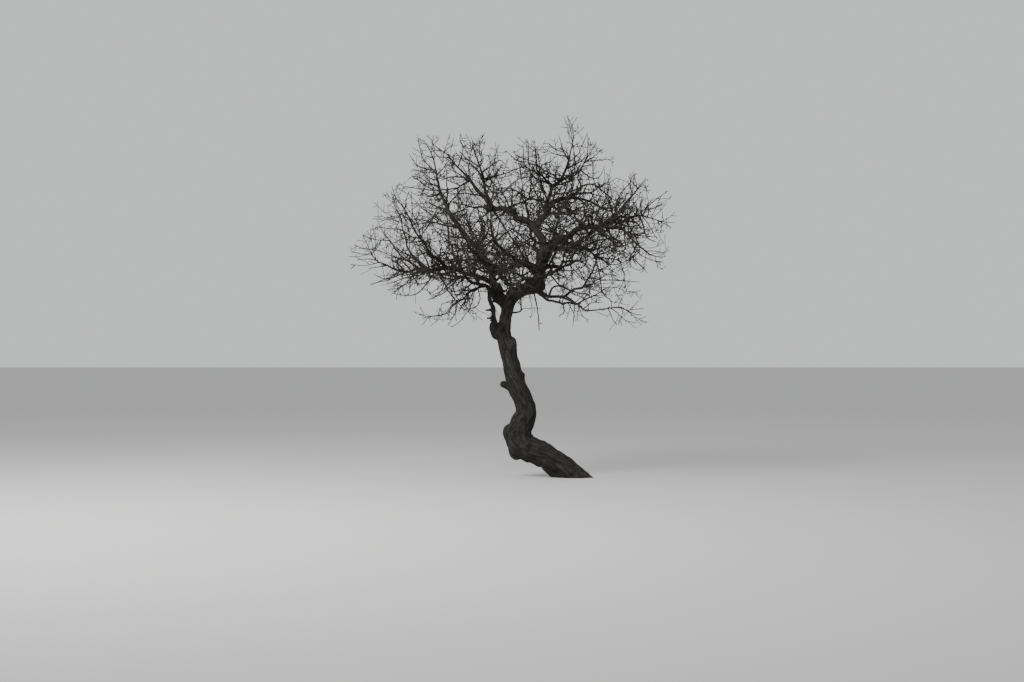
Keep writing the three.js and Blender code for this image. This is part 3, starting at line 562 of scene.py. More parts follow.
# Smaller limbs that show one by one: what each grows from, its radius at root and tip in tenths of a
# millimetre, how far its tip lies behind its root, and the places in the picture that it passes
GIRTH_UNITS = 10000
SMALL_LIMBS = {
    "trunk_hook": ("trunk", 130, 95, -0.08, (513, 314), (517, 312), (521, 310), (521, 303), (521, 297)),
    "trunk_hook_side": ("trunk_hook", 65, 41, -0.05, (519, 311), (524, 308), (531, 309)),
    "trunk_shoot": ("trunk", 78, 40, -0.15, (502, 309), (493, 301)),
    "window_bar": ("left_prop", 117, 104, 0.1, (494, 300), (498, 303), (502, 308)),
    "window_twig": ("left_prop", 52, 41, 0.05, (493, 305), (495, 309), (498, 315)),
    "hanging_left": ("right_main", 52, 41, -0.04, (531, 297), (532, 308), (531, 318)),
    "hanging_long": ("right_main", 91, 68, -0.14, (537, 296), (538, 312), (539, 330)),
    "hanging_long_side": ("hanging_long", 52, 41, 0.02, (538, 324), (541, 323.5), (543, 324)),
    "hanging_short": ("right_low_out", 39, 41, -0.21, (561, 303), (560, 310)),
    "hanging_right": ("right_low_out", 65, 41, -0.11, (574, 305), (574, 314), (573, 326)),
    "low_arc": ("right_low", 143, 121, -0.34, (549, 294), (552, 288), (558, 286), (565, 288), (571, 291)),
    "low_strut": ("right_low", 117, 81, -0.26, (565, 295), (573, 301), (582, 307)),
    "low_straight": ("right_low", 91, 41, -0.37, (589, 278), (603, 280), (615, 280), (640, 282)),
    "low_level": ("right_low", 91, 41, -0.2, (572, 291), (579, 293), (586, 294), (591, 298), (597, 303)),
    "low_out_arc": ("right_low_out", 78, 41, 0.2, (583, 309), (589, 304), (595, 302), (602, 303)),
    "low_end": ("right_low_out", 91, 54, 0.1, (610, 308), (620, 308), (628, 311), (635, 314), (641, 315)),
    "low_end_low": (
        "right_low_out", 78, 41, -0.2, (610, 308), (616, 312), (621, 317), (627, 321), (635, 323),
    ),
    "low_end_drop": ("right_low_out", 65, 41, -0.1, (608, 309), (611, 315), (613, 320), (617, 325)),
    "low_diag": ("right_main", 117, 54, -0.4, (540, 277), (547, 272), (554, 271), (560, 275), (573, 282)),
    "fork_streak_near": ("right_main", 154, 95, -0.35, (541, 271), (547, 263), (551, 255), (557, 241)),
    "fork_streak_far": (
        "right_main", 156, 81, 0.5, (541, 273), (549, 265), (554, 257), (558, 250), (563, 246),
    ),
    "stub_on": ("right_stub", 165, 81, 0.2, (560, 267), (564, 262), (571, 261), (578, 261), (586, 261)),
    "stub_drop": ("stub_on", 91, 54, -0.2, (571, 261), (571, 270), (573, 280)),
    "stub_riser": ("left_stub", 154, 68, -0.18, (530, 262), (522, 254), (518, 246), (512, 239)),
    "stub_up_right": (
        "left_stub", 130, 54, -0.3, (530, 265), (527, 257), (524, 248), (521, 239), (522, 230),
    ),
    "stub_up_left": ("left_stub", 130, 54, 0.3, (523, 264), (515, 259), (508, 256), (500, 252), (493, 247)),
    "stub_left": ("left_stub", 130, 54, 0.1, (517, 263), (510, 266), (503, 268), (497, 266)),
    "knot_drop": ("centre_far", 156, 81, -0.29, (492, 210), (503, 225), (511, 237), (518, 249)),
    "near_cross": ("centre_near", 117, 54, 0.3, (494, 243), (503, 235), (509, 231), (515, 227), (519, 224)),
    "near_up": ("centre_near", 117, 41, -0.2, (491, 237), (486, 232), (482, 226), (480, 219)),
    "left_fork_up": ("left_main", 104, 41, -0.2, (490, 266), (494, 260), (500, 256), (503, 249)),
    "main_climber": (
        "left_main", 156, 54, -0.4, (484, 257), (477, 240), (472, 231), (467, 222), (459, 206),
    ),
    "main_riser": ("left_main", 130, 54, 0.3, (472, 243), (473, 235), (470, 226), (470, 216), (474, 208)),
    "main_loop": ("left_main", 117, 54, -0.3, (451, 216), (457, 212), (462, 210), (466, 206), (467, 200)),
    "main_up": ("left_main", 117, 41, 0.3, (447, 209), (450, 202), (455, 197), (460, 190), (462, 184)),
    "main_fan_high": (
        "left_main", 91, 41, -0.3, (437, 180), (430, 178), (424, 173), (417, 170), (410, 171),
    ),
    "main_fan": ("left_main", 104, 41, 0.25, (438, 186), (429, 183), (421, 178), (413, 176), (407, 180)),
    "main_fan_low": ("left_main", 91, 41, 0.1, (439, 193), (431, 196), (424, 193), (417, 195), (411, 192)),
    "main_stub": ("left_main", 91, 54, 0.1, (441, 199), (436, 199), (430, 200)),
    "main_stub_high": ("left_main", 78, 54, 0.15, (440, 195), (435, 195), (431, 194)),
    "left_cross": ("left_main", 156, 54, -0.36, (458, 226), (450, 226), (441, 224), (432, 222), (415, 224)),
    "left_whip": ("left_riser_near", 78, 41, -0.1, (412, 224), (412, 208), (411, 190)),
    "near_riser_whip": ("left_riser_near", 104, 41, 0.5, (412, 222), (406, 217), (400, 214), (390, 205)),
    "near_riser_out": (
        "left_riser_near", 117, 41, 0.3, (419, 239), (412, 237), (401, 230), (385, 228), (378, 227),
    ),
    "far_riser_whip": (
        "left_riser_far", 104, 41, -0.2, (402, 226), (400, 217), (396, 209), (393, 201), (391, 191),
    ),
    "riser_arch": (
        "left_riser_mid", 143, 41, 0.3, (447, 228), (440, 220), (434, 216), (423, 209), (408, 193),
    ),
    "left_out_riser": (
        "left_level", 143, 41, 0.49, (420, 269), (401, 256), (391, 242), (384, 233), (377, 221),
    ),
    "left_tip_cross": ("left_out_riser", 78, 41, -0.3, (389, 241), (381, 240), (373, 239), (363, 235)),
    "left_small_riser": ("left_level", 117, 41, -0.24, (430, 269), (426, 259), (422, 253), (418, 246)),
    "level_up_inner": (
        "left_level", 130, 41, -0.3, (456, 269), (450, 262), (446, 255), (442, 249), (440, 241),
    ),
    "level_up": ("left_level", 130, 41, 0.35, (447, 268), (441, 260), (436, 253), (431, 248), (425, 244)),
    "level_up_far": (
        "left_level", 117, 41, 0.6, (440, 268), (434, 261), (430, 254), (429, 247), (430, 238),
    ),
    "level_up_near": (
        "left_level", 117, 41, -0.5, (424, 270), (417, 262), (411, 257), (403, 252), (394, 246),
    ),
    "level_up_out": (
        "left_level", 104, 41, -0.3, (411, 270), (403, 262), (396, 257), (389, 255), (376, 249),
    ),
    "level_up_end": ("left_level", 91, 41, 0.3, (405, 271), (398, 264), (391, 259), (384, 257)),
    "left_level_low": (
        "left_level", 130, 41, -0.29, (409, 271), (399, 275), (392, 278), (385, 279), (374, 274),
    ),
    "left_level_lowest": ("left_level", 91, 41, -0.3, (400, 271), (393, 276), (383, 280), (370, 285)),
    "left_tip_high": ("left_level_tip", 78, 41, 0.2, (371, 253), (364, 254), (353, 252)),
    "left_tip_level": ("left_level_tip", 78, 41, -0.1, (377, 260), (368, 259), (357, 260)),
    "left_tip_low": ("left_level", 78, 41, 0.1, (387, 266), (378, 267), (369, 268)),
    "left_low_drop": (
        "left_prop", 143, 41, -0.35, (432, 273), (428, 282), (416, 294), (402, 295), (392, 293),
    ),
    "drop_side": ("left_low_drop", 78, 41, 0.2, (429, 281), (421, 284), (410, 282)),
    "left_low_tip": (
        "left_prop_tip", 91, 41, 0.25, (424, 272), (411, 281), (404, 285), (396, 288), (387, 290),
    ),
    "prop_hanging": ("left_prop", 78, 41, -0.1, (446, 275), (444, 281), (441, 291), (432, 299)),
    "prop_hanging_short": ("left_prop", 65, 41, 0.1, (455, 277), (454, 284), (451, 291)),
    "droop_drop": ("left_droop", 91, 41, -0.1, (457, 302), (456, 311), (452, 318), (448, 326)),
    "droop_out": ("left_droop", 91, 41, 0.2, (464, 299), (457, 300), (450, 301), (443, 304)),
    "droop_inner": ("left_droop", 78, 41, 0.3, (470, 292), (466, 300), (462, 306), (459, 313)),
    "droop_level": ("left_droop", 78, 41, 0.2, (478, 288), (480, 298), (476, 307), (465, 309)),
    "droop_twig": ("left_droop_tip", 65, 41, 0, (429, 317), (425, 321), (422, 325)),
    "left_top_low": (
        "left_main", 104, 41, 0.35, (436, 170), (428, 169), (421, 167), (415, 163), (409, 153),
    ),
    "left_top_whip": (
        "left_main", 104, 41, 0.2, (437, 174), (431, 168), (424, 160), (420, 149), (417, 135),
    ),
    "left_top_up": ("left_main_tip", 78, 41, -0.2, (434, 161), (434, 154), (434, 148), (432, 141)),
    "left_top_right": ("left_main", 91, 41, -0.3, (438, 174), (443, 168), (447, 162), (451, 158)),
    "far_level": (
        "centre_far", 143, 54, -0.28, (470, 180), (461, 185), (456, 188), (438, 190), (423, 189),
        (404, 186),
    ),
    "far_level_up": ("far_level", 104, 41, 0.2, (434, 190), (426, 186), (419, 181), (411, 175)),
    "far_level_drop": ("far_level", 91, 41, -0.3, (457, 188), (458, 195), (461, 201), (466, 207)),
    "far_short": ("centre_far", 156, 68, 0.31, (471, 179), (463, 177), (449, 177), (441, 180)),
    "far_tip_up": ("centre_far_tip", 91, 41, 0.1, (445, 151), (448, 148), (452, 145), (453, 137)),
    "far_tip_left": ("centre_far_tip", 78, 41, -0.1, (441, 150), (435, 150), (430, 152)),
    "far_up": ("centre_far_tip", 104, 41, -0.3, (458, 167), (460, 160), (463, 147), (460, 141), (460, 135)),
    "knot_left": ("centre_far", 156, 68, -0.28, (486, 208), (475, 207), (465, 205), (456, 203)),
    "knot_cross": (
        "centre_far", 154, 121, -0.47, (505, 208), (519, 203), (530, 199), (540, 200), (552, 203),
    ),
    "cross_arc": ("knot_cross", 130, 54, -0.26, (528, 199), (522, 194), (515, 190), (508, 188), (499, 188)),
    "arc_riser": ("cross_arc", 104, 41, 0.3, (507, 188), (512, 183), (518, 179), (526, 177), (532, 173)),
    "cross_riser": ("knot_cross", 117, 54, -0.45, (529, 199), (531, 185), (532, 172)),
    "top_left_out": (
        "top_left", 143, 54, -0.21, (481, 172), (488, 168), (494, 163), (500, 160), (504, 163),
    ),
    "top_left_whip": ("top_left_out", 78, 41, 0.1, (494, 163), (495, 156), (497, 150), (499, 144)),
    "top_left_arch": ("top_left", 130, 41, 0.2, (482, 179), (494, 176), (508, 172), (523, 166)),
    "top_left_knobby": (
        "top_left", 156, 68, 0.4, (480, 167), (474, 163), (469, 160), (465, 157), (462, 153),
    ),
    "top_left_back": ("top_left_tip", 91, 41, 0.3, (478, 152), (474, 149), (468, 148), (463, 146)),
    "top_left_loop": ("top_left_tip", 78, 41, -0.2, (479, 162), (482, 159), (482, 154), (480, 150)),
    "top_left_tangle": (
        "top_left", 143, 54, -0.5, (484, 183), (488, 187), (492, 192), (495, 197), (500, 204),
    ),
    "centre_riser": (
        "top_centre", 156, 54, 0.3, (540, 174), (534, 171), (528, 168), (524, 162), (523, 146),
    ),
    "centre_level": ("centre_riser", 117, 41, 0.3, (526, 166), (518, 168), (510, 170), (501, 170)),
    "centre_out": ("centre_riser", 104, 41, -0.2, (524, 162), (517, 160), (512, 156), (507, 151)),
    "centre_arch": ("top_centre", 130, 54, -0.4, (549, 183), (541, 181), (535, 184), (531, 191)),
    "top_out": ("top_centre", 117, 41, 0.08, (538, 172), (543, 164), (551, 161), (555, 156)),
    "leader_low_left": ("leader", 117, 41, -0.3, (559, 178), (552, 177), (547, 174), (541, 172)),
    "leader_mid_left": ("leader", 78, 41, 0.1, (561, 175), (554, 174), (548, 173)),
    "leader_spur": ("leader", 130, 54, -0.06, (568, 160), (565, 154), (563, 149), (562, 143)),
    "leader_left": ("leader_spur", 104, 54, 0, (564, 151), (558, 150), (553, 147), (549, 143)),
    "leader_left_low": ("leader_spur", 78, 41, -0.2, (566, 156), (560, 155), (553, 153), (546, 149)),
    "leader_right": ("leader", 143, 54, 0.3, (566, 169), (571, 166), (576, 164), (581, 161), (587, 156)),
    "leader_right_up": ("leader_right", 78, 41, 0.2, (582, 160), (578, 156), (573, 154)),
    "crown_left": ("leader_tip", 65, 41, 0, (572, 128), (567, 127), (561, 126)),
    "crown_right": ("leader_tip", 65, 41, 0, (572, 126), (574, 122), (577, 117)),
    "crown_low_left": ("leader_tip", 65, 41, 0.1, (572, 144), (569, 142), (566, 141)),
    "crown_low_right": ("leader_tip", 78, 41, -0.1, (572, 147), (575, 145), (580, 142)),
    "up_spike": ("top_right_up", 91, 41, -0.1, (584, 164), (587, 156), (588, 147), (588, 135)),
    "up_spike_cross": ("up_spike", 52, 41, 0.05, (588, 147), (585, 147), (583, 146)),
    "right_up_tip": ("top_right_up", 104, 41, 0.23, (586, 160), (595, 155), (603, 149)),
    "up_right": ("top_right_up", 91, 41, -0.2, (583, 166), (589, 165), (594, 162), (598, 156)),
    "right_up_arc": (
        "top_right_up", 117, 41, 0.29, (581, 170), (587, 175), (593, 178), (600, 176), (605, 166),
    ),
    "up_drop": ("top_right_up", 154, 162, -0.1, (580, 171), (578, 178), (581, 185), (577, 194)),
    "right_cross": (
        "top_right", 154, 54, -0.29, (575, 192), (584, 185), (596, 185), (610, 197), (620, 203),
    ),
    "right_whip": ("right_cross", 78, 41, 0.02, (608, 195), (609, 183), (607, 174)),
    "right_band": (
        "top_right", 220, 95, 0.2, (564, 197), (577, 198), (590, 201), (598, 206), (611, 208), (620, 203),
    ),
    "right_band_up": ("right_band", 104, 41, 0.3, (597, 204), (600, 197), (604, 192), (611, 187)),
    "right_band_low": (
        "top_right", 143, 68, 0.5, (551, 204), (563, 212), (575, 210), (588, 212), (604, 209),
    ),
    "upper_climber": ("right_upper", 154, 95, 0.4, (582, 228), (576, 218), (571, 209), (567, 199)),
    "upper_riser": ("right_upper", 156, 68, -0.4, (592, 227), (592, 217), (594, 209), (590, 203)),
    "upper_riser_out": (
        "right_upper", 156, 54, 0.3, (600, 226), (602, 217), (606, 211), (609, 203), (613, 196),
    ),
    "upper_tip": ("right_upper_tip", 78, 41, 0.1, (633, 195), (631, 190), (628, 184)),
    "upper_tip_short": ("right_upper_tip", 65, 41, -0.1, (637, 190), (637, 186), (636, 182)),
    "right_level_riser": ("right_level", 117, 41, 0.11, (642, 214), (641, 206), (643, 194)),
    "right_level_out": ("right_level", 104, 41, 0.31, (643, 214), (647, 208), (654, 201), (668, 191)),
    "level_twig_out": ("right_level", 91, 41, -0.2, (648, 217), (649, 210), (648, 203)),
    "level_twig": ("right_level", 91, 41, 0.3, (635, 217), (637, 209), (636, 200)),
    "level_cross": ("right_level_tip", 65, 41, 0.05, (664, 222), (663, 217), (663, 212)),
    "level_cross_low": ("right_level_tip", 65, 41, -0.05, (662, 222), (662, 227), (661, 232)),
    "level_cross_out": ("right_level_tip", 78, 41, 0.1, (657, 221), (665, 224), (672, 227)),
    "level_down": (
        "right_level", 130, 54, -0.4, (640, 217), (643, 224), (645, 232), (648, 238), (656, 242),
    ),
    "droop_band": ("right_droop", 143, 68, 0.5, (612, 227), (620, 222), (629, 221), (637, 223), (642, 229)),
    "droop_tip_out": ("right_droop_tip", 78, 41, 0.1, (646, 251), (653, 251), (661, 252)),
    "right_low_drop": ("right_droop", 130, 41, 0.01, (638, 243), (634, 251), (629, 259), (631, 268)),
    "right_inner": (
        "right_upper", 156, 54, -0.37, (605, 226), (611, 235), (616, 245), (622, 246), (638, 241),
    ),
    "inner_band": ("right_upper", 154, 54, 0.4, (592, 228), (600, 232), (610, 240), (620, 243), (634, 242)),
    "far_climber": ("right_far", 154, 68, 0.2, (572, 245), (580, 240), (588, 235), (596, 230), (604, 229)),
    "far_climber_low": (
        "right_far", 143, 54, -0.7, (583, 247), (591, 243), (600, 240), (608, 238), (616, 232),
    ),
    "far_loop": ("right_far", 117, 54, -0.3, (571, 246), (572, 254), (571, 262)),
    "far_fan": ("right_far", 130, 41, 0.4, (597, 256), (606, 252), (613, 250), (620, 251), (629, 248)),
    "far_fan_low": ("right_far", 130, 41, -0.5, (590, 251), (599, 248), (608, 247), (616, 250), (624, 255)),
    "right_far_drop": ("right_far", 154, 68, -0.04, (594, 254), (598, 266), (600, 278), (602, 293)),
    "far_drop_on": ("right_far_drop", 78, 54, -0.1, (601, 290), (605, 296), (610, 300), (612, 307)),
    "right_low_band": (
        "right_far", 154, 54, -0.4, (599, 258), (613, 259), (620, 262), (624, 278), (618, 292),
    ),
    "right_low_fork": ("right_low_band", 78, 41, 0.1, (624, 277), (625, 284), (627, 291)),
    "right_low_out_twig": ("right_low_band", 117, 41, 0.4, (617, 260), (624, 257), (637, 262), (646, 270)),
    "right_low_loop": ("right_low_out_twig", 78, 41, 0.1, (630, 260), (632, 267), (640, 270), (647, 265)),
}

# What grows on each kind of wood beyond what the solids have
BEARS = {
    "bough": ("branch", "long", "short", "spur"),
    **dict.fromkeys(("limb", "leader", "side", "branch"), ("long", "short", "spur")),
    **dict.fromkeys(("spray", "long"), ("short", "spur")),
    "short": ("twiglet", "spur"),
}
# How those grow: how far apart they are, length, root radius at most, the source rule's values and sides
FINE_VALUES = (
    "every", "length", "thick", "steps", "first", "last", "lean", "rise", "crook", "thinning", "tip",
    "salt", "sides",
)
FINE = {
    kind: dict(zip(FINE_VALUES, values)) for kind, values in {
        "branch": (0.075, 0.95, 0.013, 13, 0.2, 0.95, (38, 78), 0.045, 0.26, 0.55, 0.0045, 5003, 6),
        "long": (0.08, 0.4, 0.0085, 7, 0.1, 0.98, (42, 85), 0.06, 0.24, 0.62, 0.004, 1009, 5),
        "short": (0.075, 0.13, 0.0055, 3, 0.06, 0.98, (50, 90), 0.05, 0.28, 0.8, 0.0034, 2003, 4),
        "twiglet": (0.07, 0.05, 0.0036, 2, 0.2, 0.9, (45, 85), 0.03, 0.25, 0.85, 0.0029, 3001, 4),
        "spur": (0.07, 0.026, 0.0042, 2, 0.05, 0.98, (60, 95), 0.1, 0.15, 0.9, 0.0046, 4001, 4),
    }.items()
}
# The crown is thickest in its middle and thins out to its edge, where long shoots show singly: the shares
# from which it thins and where it is thinnest, and then the share of each kind that stands in each
CROWN = {"middle": Vector((-0.85, 0, 3.5)), "half": (2.45, 2.4, 1.75), "full": 0.55, "edge": 0.95}
CROWD = {
    "branch": (0.66, 0.25), "long": (0.66, 0.2), "short": (0.42, 0.15), "twiglet": (0.4, 0.15),
    "spur": (0.5, 0.3),
}
# Thickets and clearings in the crown: middle, half size and how many times as many long twigs stand there
ZONES = tuple((Vector(middle), half, times) for middle, half, times in (
    ((-2.0, 0, 4.45), (0.5, 1.5, 0.22), 2.0),
    ((-2.4, 0, 4.4), (0.3, 1.5, 0.25), 2.5),
    ((-2.65, 0, 3.95), (0.3, 1.5, 0.32), 0.2),
    ((-2.3, 0, 3.55), (0.5, 1.2, 0.25), 1.6),
    ((-1.85, 0, 3.32), (0.38, 1.2, 0.2), 0.35),
    ((-0.6, 0, 3.7), (1.5, 1.5, 0.8), 1.12),
    ((-1.6, 0, 2.9), (0.6, 0.8, 0.22), 2.4),
    ((-1.05, 0, 4.5), (0.4, 1.2, 0.4), 1.3),
    ((-1.5, 0, 3.75), (0.3, 1.0, 0.35), 0.35),
    ((-1.0, 0, 3.55), (0.3, 1.2, 0.3), 0.6),
    ((-0.35, 0, 3.85), (0.4, 0.8, 0.2), 2.6),
    ((0.2, 0, 3.65), (0.8, 1.6, 0.33), 1.9),
    ((-0.05, 0, 5.05), (0.35, 1.0, 0.2), 0.25),
    ((1.35, 0, 3.65), (0.25, 1.0, 0.3), 0.3),
    ((0.85, 0, 4.2), (0.4, 1.5, 0.3), 0.6),
    ((0.65, 0, 3.25), (0.45, 1.6, 0.3), 2.8),
    ((0.9, 0, 3.6), (0.3, 1.5, 0.4), 1.7),
    ((-0.15, 0, 3.15), (0.25, 1.2, 0.25), 0.5),
    ((0.4, 0, 4.5), (0.35, 1.5, 0.25), 0.45),
    ((-0.35, 0, 3.0), (0.25, 0.8, 0.35), 0.15),
    ((-0.45, 0, 2.4), (0.5, 0.8, 0.3), 0.15),
    ((-0.85, -1.8, 3.7), (1.2, 0.7, 0.9), 1.8),
    ((-0.85, 1.8, 3.7), (1.2, 0.7, 0.9), 1.8),
))
# How far the shorter kinds follow those
FOLLOWS = {"short": 0.5, "twiglet": 0.3, "spur": 0.3}
# The kinds that have to stay in the crown: in the masses' spaces, or near a bough or above it
LONG_KINDS = ("branch", "long", "short")
NEAR_BOUGHS = 0.38
ABOVE_BOUGHS = Vector((0, 0, 0.28))
# Boughs bear few short twigs of their own, so their shoots stand apart
SPARE = {("bough", "long"): 0.4, ("bough", "short"): 0.35, ("branch", "long"): 0.75}
# The share of a bough from which it bears twigs, where that isn't the usual one
BARE = {
    "usual": 0.2, "left_main": 0.18, "left_prop": 0.3, "right_main": 0.6, "left_stub": 0.3,
    "right_stub": 0.3,
}
# How many colours of twigs there are, dealt out by spray
TINTS = 3
# How close the points of twigs and of limbs stand, the least radius of a mass's twig, how deep a fine
# twig's root sits in its parent, and what sets its draw for its place apart from its other draws
TWIG_STEP, LIMB_STEP = 0.04, 0.02
SLENDER = 0.0042
ROOTED = 0.8
CHANCE = 77
# Everything is bent by one field of small kinks, so what is joined stays joined: size and spacing
GNARL = ((0.0065, 0.15), (0.0025, 0.055))
GNARL_SEED = 7


def seen_at(pixel, depth):
    """The place in the frame that shows at a pixel of the picture, so far behind the trunk."""
    scale = PICTURE["metres"] * (PICTURE["distance"] + depth) / PICTURE["distance"]
    x = PICTURE["left"] + (pixel[0] - PICTURE["middle"]) * scale
    return Vector((x, depth, PICTURE["eye"] + (PICTURE["horizon"] - pixel[1]) * scale))


def pixel_of(point):
    """Where a place in the frame shows in the picture."""
    scale = PICTURE["metres"] * (PICTURE["distance"] + point.y) / PICTURE["distance"]
    across = (point.x - PICTURE["left"]) / scale
    return Vector((PICTURE["middle"] + across, PICTURE["horizon"] - (point.z - PICTURE["eye"]) / scale))


def small_limb_path(parent, girth, depth, pixels, seed, tint):
    """A small limb starts on its parent where that passes the first pixel."""
    shares = np.linspace(0, 1, CURVE_SAMPLES + 1)
    root = min(shares, key=lambda share: (pixel_of(parent.point(share)) - Vector(pixels[0])).length)
    start = parent.point(root)
    depths = np.linspace(start.y, start.y + depth, len(pixels))
    stations = [start] + [seen_at(pixel, away) for pixel, away in zip(pixels[1:], depths[1:])]
    runs = run_lengths(stations)
    thick = min(girth[0], parent.radius(root) * COLLAR["most"])
    radii = taper(runs, (thick, min(girth[1], thick)), parent.radius(root))
    return Path(stations, radii, seed, "limb", tint)


def refined(path, step, girth=None, parent_radius=0):
    """The same path with more points, smooth between its own, and its taper worked out anew if given."""
    stations = len(path.points) - 1
    count = max(round(path.length() / step / stations), 1) * stations
    shares = np.linspace(0, 1, count + 1)
    points = curve_points(path.points, shares)
    radii = np.interp(shares * stations, range(stations + 1), path.radii)
    if girth:
        radii = taper(run_lengths(points), girth, parent_radius)
    return Path(points, radii, path.seed, path.kind, path.tint)


def gnarled(points):
    """Points moved by the field of small kinks."""
    noise.seed_set(GNARL_SEED)
    moved = np.array(points, float)
    for size, spacing in GNARL:
        bends = [noise.noise_vector(place) for place in (moved / spacing).tolist()]
        moved = moved + size * np.array(bends)
    return moved


def zone_level(place, middle, half):
    """0 in the middle of a zone and 1 on its skin."""
    return math.hypot(*(offset / size for offset, size in zip(place - middle, half)))


def crowd_at(place, kind, parent_kind):
    """The share of the fine twigs of a kind that stand at a place on their parent."""
    level = zone_level(place, CROWN["middle"], CROWN["half"])
    share = (level - CROWN["full"]) / (CROWN["edge"] - CROWN["full"])
    crowd = between(*CROWD[kind], min(max(share, 0), 1))
    for middle, half, times in ZONES:
        crowd *= times ** (math.exp(-(zone_level(place, middle, half) ** 2)) * FOLLOWS.get(kind, 1))
    return crowd * SPARE.get((parent_kind, kind), 1)


def fine_growth(parent, fits, made, first=0.0):
    """Finer and finer twigs on a limb or twig, each where it fits."""
    length = parent.length()
    for kind in BEARS.get(parent.kind, ()):
        order = dict(FINE[kind])
        order["first"] = max(order["first"], first)
        run = length * (order["last"] - order["first"])
        order["count"] = round(run / order["every"])
        for index in range(order["count"]):
            grow, radii, seed, _, share = side_shoot(parent, order, index, order["length"])
            if stream(seed + CHANCE)() > crowd_at(parent.point(share), kind, parent.kind):
                continue
            for shorter in SHORTER:
                points = grow(shorter)
                outwards = (points[1] - points[0]).normalized() * parent.radius(share) * ROOTED
                points = points[:1] + [point + outwards for point in points[1:]]
                if kind not in LONG_KINDS or fits(points[1:]):
                    break
            else:
                continue
            thick = max(min(radii[0], order["thick"]), min(order["tip"], radii[0]))
            twig = Path(points, np.linspace(thick, order["tip"], len(points)), seed, kind, parent.tint)
            made.append(twig)
            fine_growth(twig, fits, made)


class Tree:
    """Every limb of the tree, worked out once, and the twigs of each."""

    def __init__(self):
        self.rough = {"trunk": trunk_path()}
        self.limbs = {"trunk": refined(self.rough["trunk"], LIMB_STEP)}
        for i, (name, (origin, at, girth, *via)) in enumerate(BOUGHS.items()):
            parent = self.rough[origin]
            self.rough[name] = bough_path(parent, at, girth, via, SEEDS["bough"] + i)
            self.limbs[name] = refined(self.rough[name], LIMB_STEP, girth, parent.radius(at))
        self.leaders = {
            name: leader_path(self.rough[name], reach, SEEDS["leader"] + i)
            for i, (name, (reach, _)) in enumerate(MASSES.items())
        }
        self.small = {}
        tips = {name + "_tip": refined(leader, TWIG_STEP) for name, leader in self.leaders.items()}
        for i, (name, (origin, thick, thin, depth, *pixels)) in enumerate(SMALL_LIMBS.items()):
            parent = {**self.limbs, **tips, **self.small}[origin]
            girth = (thick / GIRTH_UNITS, thin / GIRTH_UNITS)
            path = small_limb_path(parent, girth, depth, pixels, SEEDS["limb"] + i, i % TINTS)
            self.small[name] = refined(path, TWIG_STEP)
        leader_reach = Reach(list(self.leaders.values()))
        self.bough_reach = Reach(list(self.rough.values()))
        self.spaces = {
            name: Space(self.leaders[name], spread, i, leader_reach, self.bough_reach)
            for i, (name, (_, spread)) in enumerate(MASSES.items())
        }

    def in_crown(self, points):
        """Whether every point lies in one of the masses' spaces or near a bough."""
        level = np.min([space.level(points) for space in self.spaces.values()], axis=0)
        out = np.array(points)[level > 1]
        if not len(out):
            return True
        beside, below = (self.bough_reach.distances(out - up).min(1) for up in ((0, 0, 0), ABOVE_BOUGHS))
        return bool((np.minimum(beside, below) < NEAR_BOUGHS).all())

    def mass_twigs(self, name):
        """The twigs of one mass, from its leading shoot to the finest."""
        leader, space = self.leaders[name], self.spaces[name]
        made, fine_of = [], {}
        for number, twig in enumerate([leader] + grow_mass(leader, space)):
            if twig.parent:
                twig.points[0] = fine_of[id(twig.parent)].point(twig.share)
            twig.tint = number % TINTS
            twig.radii = [max(radius, SLENDER) for radius in twig.radii]
            fine = fine_of[id(twig)] = refined(twig, TWIG_STEP)
            made.append(fine)
            fine_growth(fine, lambda points: (space.level(points) <= 1).all(), made)
        return made

    def bough_twigs(self, name):
        """The twigs along one bough, outside its mass."""
        made = []
        fine_growth(self.limbs[name], self.in_crown, made, BARE.get(name, BARE["usual"]))
        for twig in made:
            twig.tint = twig.seed % TINTS
        return made

    def small_twigs(self, name):
        """One small limb and the twigs on it."""
        made = [self.small[name]]
        fine_growth(self.small[name], self.in_crown, made)
        return made


# The bark's relief: how deep on wood that thick and how that grows with girth, the height that stays in
# place, how much longer than wide the furrows are, the lumps' size and spacing, and how far each limb's
# pattern is from the next one's
RELIEF = {
    "depth": 0.01, "girth": 0.12, "power": 0.8, "level": 0.5, "stretch": 5.0, "lumps": 0.11, "spacing": 0.9,
    "apart": 3.7,
}
FURROWS = ({"width": 0.045, "share": 0.65, "sharp": 0.34}, {"width": 0.018, "share": 0.4, "sharp": 0.42})
THIN_WOOD = 0.55
# Old wounds in the trunk, dented in and darkened with painted shade: middle, size and depth
HOLLOWS = (
    ((-0.845, -0.16, 0.655), 0.05, 0.045),
    ((-0.8, -0.17, 0.54), 0.03, 0.022),
    ((-0.765, -0.17, 0.545), 0.022, 0.018),
    ((-0.745, -0.13, 0.83), 0.035, 0.018),
    ((-0.99, -0.1, 2.12), 0.04, 0.02),
)
# How far round a limb its bark reaches, how many points are measured at a time and how often they settle
MARGIN = 0.08
CHUNK = 20000
SETTLING = 3
# The least length and sums of weights, so that nothing is divided by zero, the weight under which a limb
# leaves no bark, and the widest powers worked out
LEAST, LEAST_SHARE, LEAST_TOTAL = 1e-9, 1e-12, 1e-30
FAINT = 1e-4
POWERS, BARK_POWERS = (-50, 50), (-50, 20)


